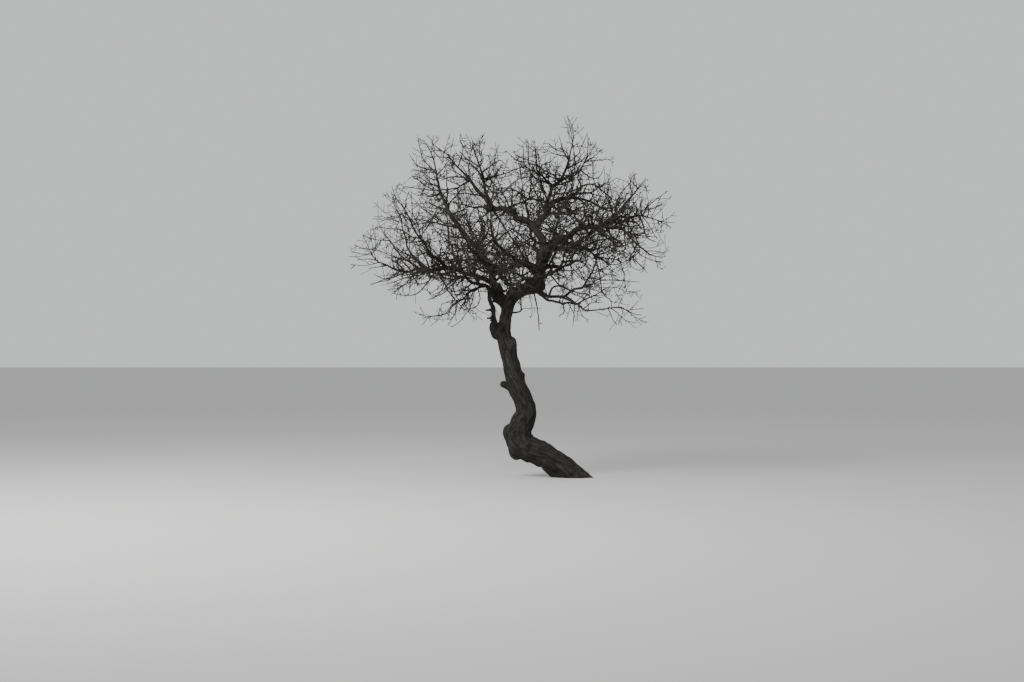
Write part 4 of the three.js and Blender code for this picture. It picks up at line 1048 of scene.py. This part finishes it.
class Limb:
    """A limb's middle line as arrays, with a frame that turns as little as it can. Number 0 is the trunk."""

    def __init__(self, path, number):
        self.number = number
        self.centre = gnarled(path.points)
        self.radius = np.array(path.radii)
        self.run = run_lengths(self.centre)
        heading = np.gradient(self.centre, axis=0)
        heading /= np.linalg.norm(heading, axis=1)[:, None]
        across = np.array([0, 0, 1.0]) if abs(heading[0][2]) < STEEP else np.array([1.0, 0, 0])
        normals = []
        for way in heading:
            across = across - way * (across @ way)
            across = across / np.linalg.norm(across)
            normals.append(across)
        self.normal = np.array(normals)
        self.side = np.cross(heading, self.normal)

    def near(self, points):
        """Which points lie in the limb's own box and a little round it."""
        room = self.radius.max() + MARGIN
        inside = (points > self.centre.min(0) - room) & (points < self.centre.max(0) + room)
        return np.flatnonzero(inside.all(1))

    def measure(self, points):
        """Each point's gap to the skin, way outwards, turn round the limb, run along it and radius."""
        nearest = np.concatenate([
            ((part**2).sum(1)[:, None] - 2 * part @ self.centre.T + (self.centre**2).sum(1)).argmin(1)
            for part in np.array_split(points, max(len(points) // CHUNK, 1))
        ])
        best = None
        for shift in (-1, 0):
            i = np.clip(nearest + shift, 0, len(self.centre) - 2)
            step = self.centre[i + 1] - self.centre[i]
            share = np.clip(((points - self.centre[i]) * step).sum(1) / (step**2).sum(1), 0, 1)
            offset = points - self.centre[i] - share[:, None] * step
            far = np.linalg.norm(offset, axis=1)
            if best is None:
                best = [far, offset, i, share]
            else:
                better = far < best[0]
                for old, new in zip(best, (far, offset, i, share)):
                    old[better] = new[better]
        far, offset, i, share = best
        radius = between(self.radius[i], self.radius[i + 1], share)
        turn = np.arctan2((offset * self.normal[i]).sum(1), -(offset * self.side[i]).sum(1))
        if self.number == 0:
            radius = radius * trunk_shape(points[:, 2], (i + share) / (len(self.centre) - 1), turn)
        run = between(self.run[i], self.run[i + 1], share)
        return far - radius, offset / np.maximum(far, LEAST)[:, None], turn, run, radius


def trunk_shape(height, share, turn):
    """The foot widens into root lobes, and shallow ribs wind up the rest of the trunk."""
    low = np.exp(-np.maximum(height, 0) / FLARE["height"])
    lobes = FLARE["depth"] * np.cos(FLARE["lobes"] * turn + FLARE["turn"])
    ribs = FLUTES["depth"] * np.sin(FLUTES["count"] * turn + FLUTES["twist"] * FULL_TURN * share)
    return (1 + ribs) * (1 + low * (FLARE["swell"] + lobes))


def ripples(places, spacing):
    """Smooth noise from about -1 to 1 at each place."""
    return np.array([noise.noise(place) for place in (places / spacing).tolist()])


def relief(turn, run, radius, number):
    """How far the bark stands out, and how high it lies from 0 in a furrow to 1 on a ridge."""
    size = THIN_WOOD + (1 - THIN_WOOD) * np.clip(radius.max() / RELIEF["girth"], 0, 1)
    round_ = np.stack([np.cos(turn) * radius, np.sin(turn) * radius, run], 1)
    shift = np.array([0, 0, RELIEF["apart"] * number])
    lumps = ripples(round_ + shift, RELIEF["spacing"] * RELIEF["girth"] * size)
    grain = round_ * np.array([1, 1, 1 / RELIEF["stretch"]]) + shift
    height = np.ones(len(turn))
    for furrow in FURROWS:
        cut = np.clip(1 - np.abs(ripples(grain, furrow["width"] * size)) / furrow["sharp"], 0, 1)
        height -= furrow["share"] * cut**2
    depth = RELIEF["depth"] * (radius / RELIEF["girth"]) ** RELIEF["power"]
    stands = lumps * RELIEF["lumps"] * radius + (height - RELIEF["level"]) * depth
    return stands, np.clip(height, 0, 1), grain


class Wood:
    """Limbs and burls that run into each other smoothly."""

    def __init__(self, limbs, burls, blend, step):
        self.limbs, self.burls, self.blend, self.step = limbs, burls, blend, step

    def skin(self, points):
        """Each point's gap to the skin and the way outwards."""
        total = np.zeros(len(points))
        way = np.zeros((len(points), 3))
        for limb in self.limbs:
            near = limb.near(points)
            gap, outwards, *_ = limb.measure(points[near])
            weight = np.exp(np.clip(-gap / self.blend, *POWERS))
            total[near] += weight
            way[near] += weight[:, None] * outwards
        for centre, half in self.burls:
            offset = points - centre
            scaled = np.linalg.norm(offset / half, axis=1)
            outwards = offset / half**2
            steep = np.linalg.norm(outwards, axis=1)
            weight = np.exp(np.clip(-scaled * (scaled - 1) / steep / self.blend, *POWERS))
            total += weight
            way += weight[:, None] * outwards / steep[:, None]
        way /= np.maximum(np.linalg.norm(way, axis=1), LEAST)[:, None]
        return -self.blend * np.log(np.maximum(total, LEAST_TOTAL)), way

    def settle(self, points):
        """Points moved onto the skin."""
        for _ in range(SETTLING):
            gap, way = self.skin(points)
            points = points - way * np.clip(gap, -self.step, self.step)[:, None]
        return points

    def bark(self, points):
        """Points on the skin moved out and in by the bark's relief, with its height and its grain."""
        total = np.full(len(points), LEAST_SHARE)
        out = np.zeros(len(points))
        height = np.zeros(len(points))
        grain = np.zeros((len(points), 3))
        top = np.zeros(len(points))
        for limb in self.limbs:
            near = limb.near(points)
            gap, _, turn, run, radius = limb.measure(points[near])
            weight = np.exp(np.clip(-gap / self.blend, *BARK_POWERS))
            shown = weight > FAINT
            near, weight = near[shown], weight[shown]
            stands, high, along = relief(turn[shown], run[shown], radius[shown], limb.number)
            total[near] += weight
            out[near] += weight * stands
            height[near] += weight * high
            leads = weight > top[near]
            grain[near[leads]], top[near[leads]] = along[leads], weight[leads]
        out, height = out / total, height / total
        for centre, size, depth in HOLLOWS:
            dent = np.clip(1 - ((points - centre) ** 2).sum(1) / size**2, 0, 1) ** 2
            # The dent also lowers the height, so the hollow takes the furrow colour's painted shade
            out, height = out - depth * dent, height * (1 - dent)
        _, way = self.skin(points)
        return points + way * out[:, None], height, grain


# The bark's pieces: the limbs in each, how fine it is and how softly its forks run together
BARK_PIECES = {
    "trunk_and_main_boughs": {
        "limbs": ("trunk", "right_main", "left_main", "left_prop", "left_stub", "right_stub"),
        "voxel": 0.0085, "blend": 0.011,
    },
    "boughs_left": {
        "limbs": (
            "left_level", "left_droop", "left_riser_near", "left_riser_mid", "left_riser_far", "front_left",
            "back_left", "front_low", "back_low",
        ),
        "voxel": 0.0062, "blend": 0.005,
    },
    "boughs_top": {
        "limbs": (
            "centre_far", "top_left", "top_right", "leader", "top_centre", "top_right_up", "front_high",
            "back_high", "centre_near",
        ),
        "voxel": 0.0062, "blend": 0.006,
    },
    "boughs_right": {
        "limbs": (
            "right_upper", "right_level", "right_droop", "right_far", "right_low", "right_low_out",
            "right_low_far", "back_right_low",
        ),
        "voxel": 0.0062, "blend": 0.005,
    },
}
# The twigs' pieces: the boughs whose masses and twigs are in each
TWIG_PIECES = {
    "bare_twigs_left_low": ("left_level", "left_prop", "left_droop", "left_riser_near"),
    "bare_twigs_left_high": ("left_main", "left_riser_mid", "left_riser_far", "back_left"),
    "bare_twigs_top_left": ("centre_far", "top_left", "top_centre", "centre_near"),
    "bare_twigs_top_right": ("leader", "top_right", "top_right_up", "back_high"),
    "bare_twigs_right": ("right_upper", "right_level", "right_droop", "right_far"),
    "bare_twigs_right_low": (
        "right_low", "right_low_out", "right_low_far", "back_right_low", "right_stub", "right_main",
    ),
    "bare_twigs_front_and_back": ("front_low", "back_low", "front_left", "front_high", "left_stub"),
}
# The flat cut's height, the smoothness of the tubes and balls under the bark, where the snags' numbers
# start, the sides of each kind of twig, and how much longer than thick the bud at its tip is
FOOT = 0.0
TUBE_ROUNDNESS, BALL_ROUNDNESS = 5, 3
SNAG_NUMBERS = 50
SIDES = {kind: order["sides"] for kind, order in FINE.items()}
SIDES.update({"leader": 6, "side": 5, "spray": 5, "limb": 7})
BUD = 2.2

# Materials: roughness and shine, the scale, detail and roughness of each unevenness, where its shades run
# from and to, and the bump's strength and depth
SHINE = 0.2
BARK_LOOK = {
    "roughness": 0.92, "fibres": (160, 6, 0.65), "flakes": (45, 5, 0.6), "patches": (4.5, 5, 0.6),
    "flake_shades": ((0.3, 0.45), (0.72, 1.35)), "fibre_shades": ((0.3, 0.6), (0.7, 1.3)),
    "patch_shades": ((0.56, 0), (0.68, 0.75)), "bark_at": 0.55, "bump": (0.6, 0.006),
}
TWIG_LOOK = {
    "roughness": 0.85, "uneven": (60, 3, 0.6), "shades": ((0.3, 0.65), (0.7, 1.25)), "bump": (0.4, 0.001),
}
FLOOR = {"roughness": 0.9, "radius": 3000, "corners": 128}
KEY_LIGHT = {"place": (-8, -9, 10), "aim": (-0.8, 0, 2.5), "size": 7}
CAMERA = {"sensor": 36, "sees": 5000}


def deselect():
    bpy.ops.object.select_all(action="DESELECT")


def raw_wood(name, limbs, burls, voxel):
    """Closed tubes along the limbs and balls for the burls, grown into one skin."""
    deselect()
    bpy.ops.curve.primitive_nurbs_path_add()
    curve = bpy.context.object.data
    curve.splines.clear()
    curve.bevel_depth, curve.bevel_resolution, curve.use_fill_caps = 1, TUBE_ROUNDNESS, True
    for limb in limbs:
        spline = curve.splines.new("POLY")
        spline.points.add(len(limb.centre) - 1)
        spline.points.foreach_set("co", np.column_stack([limb.centre, np.ones(len(limb.centre))]).ravel())
        spline.points.foreach_set("radius", limb.radius)
    bpy.ops.object.convert(target="MESH")
    tubes = bpy.context.object
    for centre, half in burls:
        bpy.ops.mesh.primitive_ico_sphere_add(subdivisions=BALL_ROUNDNESS, location=centre, scale=half)
        tubes.select_set(True)
        bpy.context.view_layer.objects.active = tubes
        bpy.ops.object.join()
    tubes.name = tubes.data.name = name
    remesh = tubes.modifiers.new("Skin", "REMESH")
    remesh.mode, remesh.voxel_size, remesh.use_smooth_shade = "VOXEL", voxel, True
    bpy.ops.object.modifier_apply(modifier="Skin")
    return tubes


def limb_burls(name, path):
    """The burls of one limb, as balls, and its snags' paths."""
    if name == "trunk":
        balls = [(np.array(centre), np.array(half)) for centre, half in TRUNK_BURLS]
        return balls, [Path([TRUNK_STUB["from"], TRUNK_STUB["to"]], TRUNK_STUB["girth"])]
    balls = [
        (np.array(path.point(at)) + shift, np.array(half)) for at, shift, half in BOUGH_BURLS.get(name, ())
    ]
    snags = []
    for at, heading, length, radius in SNAGS.get(name, ()):
        root = path.point(at)
        tip = root + Vector(heading).normalized() * length
        snags.append(Path([root, tip], [radius, radius * SNAG_TAPER]))
    return balls, snags


def bark_piece(name, piece):
    """The bark over some of the limbs."""
    limbs, burls = [], []
    for limb in piece["limbs"]:
        number = list(TREE.limbs).index(limb)
        limbs.append(Limb(TREE.limbs[limb], number))
        balls, snags = limb_burls(limb, TREE.rough[limb])
        burls += balls
        limbs += [Limb(refined(snag, LIMB_STEP), number + SNAG_NUMBERS + i) for i, snag in enumerate(snags)]
    wood = Wood(limbs, burls, piece["blend"], piece["voxel"])
    skin = raw_wood(name, limbs, burls, piece["voxel"])
    mesh = skin.data
    points = np.empty(len(mesh.vertices) * 3)
    mesh.vertices.foreach_get("co", points)
    points, height, grain = wood.bark(wood.settle(points.reshape(-1, 3)))
    mesh.vertices.foreach_set("co", points.ravel())
    # The height is also the material's mask for painted shade in the furrows
    mesh.attributes.new("height", "FLOAT", "POINT").data.foreach_set("value", height)
    mesh.attributes.new("grain", "FLOAT_VECTOR", "POINT").data.foreach_set("vector", grain.ravel())
    mesh.update()
    if points[:, 2].min() < FOOT:
        cut_foot(skin)
    return skin


def cut_foot(skin):
    """The flat cut at the ground."""
    deselect()
    skin.select_set(True)
    bpy.context.view_layer.objects.active = skin
    bpy.ops.object.mode_set(mode="EDIT")
    bpy.ops.mesh.select_all(action="SELECT")
    bpy.ops.mesh.bisect(plane_co=(0, 0, FOOT), plane_no=(0, 0, 1), clear_inner=True, use_fill=True)
    bpy.ops.object.mode_set(mode="OBJECT")


def tube_arrays(twigs, sides):
    """Points and faces of closed tubes with the same rings and sides, each with a bud at its tip."""
    centre = np.array([gnarled(twig.points) for twig in twigs])
    radius = np.array([twig.radii for twig in twigs])
    count, rings = radius.shape
    heading = np.gradient(centre, axis=1)
    heading /= np.linalg.norm(heading, axis=2)[..., None]
    normal = np.empty_like(heading)
    across = np.tile(SLANTED, (count, 1))
    for ring in range(rings):
        way = heading[:, ring]
        across = across - way * (across * way).sum(1)[:, None]
        across = across / np.linalg.norm(across, axis=1)[:, None]
        normal[:, ring] = across
    side = np.cross(heading, normal)
    angle = FULL_TURN * np.arange(sides) / sides
    out = normal[:, :, None] * np.cos(angle)[:, None] + side[:, :, None] * np.sin(angle)[:, None]
    skin = (centre[:, :, None] + radius[:, :, None, None] * out).reshape(count, rings * sides, 3)
    tip = centre[:, -1] + heading[:, -1] * radius[:, -1:] * BUD
    faces = [list(range(sides))[::-1]]
    for low in range(0, (rings - 1) * sides, sides):
        for j in range(sides):
            beside = (j + 1) % sides
            faces.append([low + j, low + beside, low + sides + beside, low + sides + j])
    last = (rings - 1) * sides
    faces += [[last + j, last + (j + 1) % sides, rings * sides] for j in range(sides)]
    return np.concatenate([skin, tip[:, None]], axis=1), faces


def joined_twigs(name, twigs):
    """One mesh of many twigs, from arrays."""
    groups = {}
    for twig in twigs:
        groups.setdefault((len(twig.points), SIDES[twig.kind]), []).append(twig)
    places, corners, sizes, tints, base = [], [], [], [], 0
    for (_, sides), group in sorted(groups.items(), key=lambda item: item[0]):
        points, faces = tube_arrays(group, sides)
        count, each = points.shape[:2]
        corners.append((np.concatenate(faces) + base + each * np.arange(count)[:, None]).ravel())
        sizes.append(np.tile([len(face) for face in faces], count))
        tints.append(np.repeat([twig.tint for twig in group], len(faces)))
        places.append(points.reshape(-1, 3))
        base += count * each
    places, corners, sizes = np.concatenate(places), np.concatenate(corners), np.concatenate(sizes)
    mesh = bpy.data.meshes.new(name)
    mesh.vertices.add(len(places))
    mesh.vertices.foreach_set("co", places.ravel())
    mesh.loops.add(len(corners))
    mesh.loops.foreach_set("vertex_index", corners)
    mesh.polygons.add(len(sizes))
    mesh.polygons.foreach_set("loop_start", np.concatenate([[0], np.cumsum(sizes)[:-1]]))
    mesh.polygons.foreach_set("material_index", np.concatenate(tints))
    mesh.update(calc_edges=True)
    mesh.shade_smooth()
    piece = bpy.data.objects.new(name, mesh)
    bpy.context.scene.collection.objects.link(piece)
    return piece


class Look:
    """A material and the nodes that make it up."""

    def __init__(self, name, roughness):
        self.material = bpy.data.materials.new(name)
        self.material.use_nodes = True
        self.nodes, self.links = self.material.node_tree.nodes, self.material.node_tree.links
        self.shader = self.nodes["Principled BSDF"]
        self.shader.inputs["Roughness"].default_value = roughness
        self.shader.inputs["Specular IOR Level"].default_value = SHINE

    def place(self):
        return self.nodes.new("ShaderNodeTexCoord").outputs["Object"]

    def attribute(self, name, output):
        node = self.nodes.new("ShaderNodeAttribute")
        node.attribute_name = name
        return node.outputs[output]

    def noise(self, vector, scale, detail, roughness):
        node = self.nodes.new("ShaderNodeTexNoise")
        node.inputs["Scale"].default_value = scale
        node.inputs["Detail"].default_value = detail
        node.inputs["Roughness"].default_value = roughness
        self.links.new(vector, node.inputs["Vector"])
        return node.outputs["Fac"]

    def ramp(self, value, *stops):
        """Colours that run from each place to the next."""
        node = self.nodes.new("ShaderNodeValToRGB")
        elements = node.color_ramp.elements
        for place, _ in stops[1:-1]:
            elements.new(place)
        for element, (place, colour) in zip(elements, stops):
            element.position, element.color = place, (*colour, 1)
        self.links.new(value, node.inputs["Fac"])
        return node.outputs["Color"]

    def shades(self, value, stops):
        return self.ramp(value, *((place, (shade,) * 3) for place, shade in stops))

    def mix(self, share, first, second, blend="MIX"):
        node = self.nodes.new("ShaderNodeMix")
        node.data_type, node.blend_type = "RGBA", blend
        for socket, value in (("Factor_Float", share), ("A_Color", first), ("B_Color", second)):
            inlet = next(i for i in node.inputs if i.identifier == socket)
            if isinstance(value, bpy.types.NodeSocket):
                self.links.new(value, inlet)
            else:
                inlet.default_value = value
        return next(o for o in node.outputs if o.identifier == "Result_Color")

    def finish(self, colour, height, strength, distance):
        """The shader's colour, and its bump."""
        self.links.new(colour, self.shader.inputs["Base Color"])
        bump = self.nodes.new("ShaderNodeBump")
        bump.inputs["Strength"].default_value = strength
        bump.inputs["Distance"].default_value = distance
        self.links.new(height, bump.inputs["Height"])
        self.links.new(bump.outputs["Normal"], self.shader.inputs["Normal"])
        return self.material


def bark_material(name, settings):
    """Fissured bark: furrows with painted shade, fibres along the limb, and grey and damp patches."""
    look = Look(name, BARK_LOOK["roughness"])
    height, grain = look.attribute("height", "Fac"), look.attribute("grain", "Vector")
    fibres = look.noise(grain, *BARK_LOOK["fibres"])
    flakes = look.noise(grain, *BARK_LOOK["flakes"])
    patches = look.noise(look.place(), *BARK_LOOK["patches"])
    # Painted shade: the furrow colour darkens the low bark; the ridge colour is the ridges' own paler tone
    bark_stop = (BARK_LOOK["bark_at"], settings.bark)
    plain = look.ramp(height, (0, settings.furrow), bark_stop, (1, settings.ridge))
    mottled = look.mix(1, plain, look.shades(flakes, BARK_LOOK["flake_shades"]), "MULTIPLY")
    ribbed = look.mix(1, mottled, look.shades(fibres, BARK_LOOK["fibre_shades"]), "MULTIPLY")
    crusted = look.mix(look.shades(patches, BARK_LOOK["patch_shades"]), ribbed, (*settings.lichen, 1))
    return look.finish(crusted, fibres, *BARK_LOOK["bump"])


def twig_material(name, colour):
    """Thin bark of one tint, a little uneven."""
    look = Look(name, TWIG_LOOK["roughness"])
    uneven = look.noise(look.place(), *TWIG_LOOK["uneven"])
    shaded = look.mix(1, (*colour, 1), look.shades(uneven, TWIG_LOOK["shades"]), "MULTIPLY")
    return look.finish(shaded, uneven, *TWIG_LOOK["bump"])


class BarkSettings(bpy.types.PropertyGroup):
    """Colours of the bark on the trunk and the boughs."""

    # Painted shade: the colour that darkens the bark deep in its furrows
    furrow: FloatVectorProperty(
        name="Furrow", description="Colour deep in the bark's furrows",
        subtype="COLOR", size=3, default=(0.009, 0.008, 0.007),
    )
    bark: FloatVectorProperty(
        name="Bark", description="Colour of the bark between furrow and ridge",
        subtype="COLOR", size=3, default=(0.018, 0.0165, 0.015),
    )
    ridge: FloatVectorProperty(
        name="Ridge", description="Colour of the weathered ridges",
        subtype="COLOR", size=3, default=(0.033, 0.0305, 0.0275),
    )
    lichen: FloatVectorProperty(
        name="Lichen", description="Colour of the pale crust in patches",
        subtype="COLOR", size=3, default=(0.042, 0.041, 0.038),
    )


class TwigSettings(bpy.types.PropertyGroup):
    """Colours of the twigs, dealt out by spray."""

    dark: FloatVectorProperty(
        name="Dark", description="Colour of the darkest sprays",
        subtype="COLOR", size=3, default=(0.020, 0.018, 0.016),
    )
    brown: FloatVectorProperty(
        name="Brown", description="Colour of the browner sprays",
        subtype="COLOR", size=3, default=(0.030, 0.025, 0.021),
    )
    grey: FloatVectorProperty(
        name="Grey", description="Colour of the greyer sprays",
        subtype="COLOR", size=3, default=(0.036, 0.034, 0.031),
    )


class StudioSettings(bpy.types.PropertyGroup):
    """The floor, the light and the camera."""

    floor: FloatVectorProperty(
        name="Floor", description="Colour of the floor",
        subtype="COLOR", size=3, default=(0.55, 0.55, 0.54),
    )
    surround: FloatVectorProperty(
        name="Surround", description="Colour of the soft light all round",
        subtype="COLOR", size=3, default=(0.80, 0.81, 0.82),
    )
    surround_strength: FloatProperty(
        name="Surround strength", description="Strength of the soft light all round", default=0.9, min=0,
    )
    key: FloatProperty(
        name="Key light", description="Power of the large soft light from the upper left",
        default=2600, min=0, unit="POWER",
    )
    lens: FloatProperty(
        name="Lens", description="Focal length of the camera", default=50.2, min=1, unit="CAMERA",
    )
    distance: FloatProperty(
        name="Distance", description="How far the camera stands from the trunk",
        default=20.7, min=1, unit="LENGTH",
    )
    eye: FloatProperty(
        name="Eye height", description="Height of the camera above the ground",
        default=1.6, min=0, unit="LENGTH",
    )
    tilt: FloatProperty(
        name="Tilt", description="How far the camera looks up", default=math.radians(1.03), subtype="ANGLE",
    )


class DEAD_TREE_OT_bark(bpy.types.Operator):
    """Grow the bark over the trunk and the boughs"""

    bl_idname = "dead_tree.bark"
    bl_label = "Trunk and boughs"

    def execute(self, context):
        settings = context.scene.dead_tree_bark
        material = bark_material("old_bark", settings)
        for name, piece in BARK_PIECES.items():
            skin = bark_piece(name, piece)
            skin.data.materials.append(material)
            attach(skin, "root")
            nodes = ["bough_" + limb if limb in BOUGHS else limb for limb in piece["limbs"]]
            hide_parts(*nodes)
        return {"FINISHED"}


class DEAD_TREE_OT_twigs(bpy.types.Operator):
    """Grow the twigs at the boughs' tips and along the boughs"""

    bl_idname = "dead_tree.twigs"
    bl_label = "Twigs"

    def execute(self, context):
        settings = context.scene.dead_tree_twigs
        materials = [
            twig_material("twig_" + name, getattr(settings, name)) for name in ("dark", "brown", "grey")
        ]
        for name, boughs in TWIG_PIECES.items():
            twigs = []
            for bough in boughs:
                twigs += (TREE.mass_twigs(bough) if bough in MASSES else []) + TREE.bough_twigs(bough)
            for small, (parent, *_) in SMALL_LIMBS.items():
                if home_bough(parent) in boughs:
                    twigs += TREE.small_twigs(small)
            piece = joined_twigs(name, twigs)
            for material in materials:
                piece.data.materials.append(material)
            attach(piece, "root")
            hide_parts(*["twigs_" + bough for bough in boughs if bough in MASSES])
        return {"FINISHED"}


def home_bough(parent):
    """The bough that a small limb's parent is or grows from, or the right main bough for the trunk's."""
    while parent in SMALL_LIMBS:
        parent = SMALL_LIMBS[parent][0]
    return "right_main" if parent == "trunk" else parent.removesuffix("_tip")


class DEAD_TREE_OT_stage(bpy.types.Operator):
    """Set out the pale floor, the soft light and the camera"""

    bl_idname = "dead_tree.stage"
    bl_label = "Stage"

    def execute(self, context):
        settings = context.scene.dead_tree_studio
        deselect()
        bpy.ops.mesh.primitive_circle_add(
            vertices=FLOOR["corners"], radius=FLOOR["radius"], fill_type="NGON",
        )
        floor = context.object
        floor.name = "floor"
        look = Look("pale_floor", FLOOR["roughness"])
        look.shader.inputs["Base Color"].default_value = (*settings.floor, 1)
        floor.data.materials.append(look.material)
        world = bpy.data.worlds.new("surround")
        world.use_nodes = True
        background = world.node_tree.nodes["Background"]
        background.inputs["Color"].default_value = (*settings.surround, 1)
        background.inputs["Strength"].default_value = settings.surround_strength
        context.scene.world = world
        bpy.ops.object.light_add(type="AREA", location=KEY_LIGHT["place"])
        key = context.object
        key.name = "key_light"
        key.data.shape, key.data.size, key.data.energy = "DISK", KEY_LIGHT["size"], settings.key
        key.rotation_euler = (Vector(KEY_LIGHT["aim"]) - key.location).to_track_quat("-Z", "Y").to_euler()
        bpy.ops.object.camera_add(
            location=(PICTURE["left"], -settings.distance, settings.eye),
            rotation=(math.pi / 2 + settings.tilt, 0, 0),
        )
        camera = context.object
        camera.data.lens = settings.lens
        camera.data.sensor_width, camera.data.clip_end = CAMERA["sensor"], CAMERA["sees"]
        context.scene.camera = camera
        return {"FINISHED"}


class DEAD_TREE_PT_panel(bpy.types.Panel):
    """Builds the tree piece by piece"""

    bl_idname = "DEAD_TREE_PT_panel"
    bl_label = "Dead tree"
    bl_space_type = "VIEW_3D"
    bl_region_type = "UI"
    bl_category = "Dead tree"

    def draw(self, context):
        for operator in OPERATORS:
            self.layout.operator(operator.bl_idname)
        for group in SETTINGS:
            settings = getattr(context.scene, group)
            for name in settings.bl_rna.properties.keys():
                if name not in {"rna_type", "name"}:
                    self.layout.prop(settings, name)


OPERATORS = (DEAD_TREE_OT_stage, DEAD_TREE_OT_bark, DEAD_TREE_OT_twigs)
SETTINGS = {
    "dead_tree_bark": BarkSettings, "dead_tree_twigs": TwigSettings, "dead_tree_studio": StudioSettings,
}


def register():
    for made in (*SETTINGS.values(), *OPERATORS, DEAD_TREE_PT_panel):
        bpy.utils.register_class(made)
    for name, group in SETTINGS.items():
        setattr(bpy.types.Scene, name, PointerProperty(type=group))


def unregister():
    for name in SETTINGS:
        delattr(bpy.types.Scene, name)
    for made in (DEAD_TREE_PT_panel, *OPERATORS, *SETTINGS.values()):
        bpy.utils.unregister_class(made)


TREE = Tree()


def main():
    register()
    bpy.ops.dead_tree.stage()
    bpy.ops.dead_tree.bark()
    bpy.ops.dead_tree.twigs()


if __name__ == "__main__":
    main()
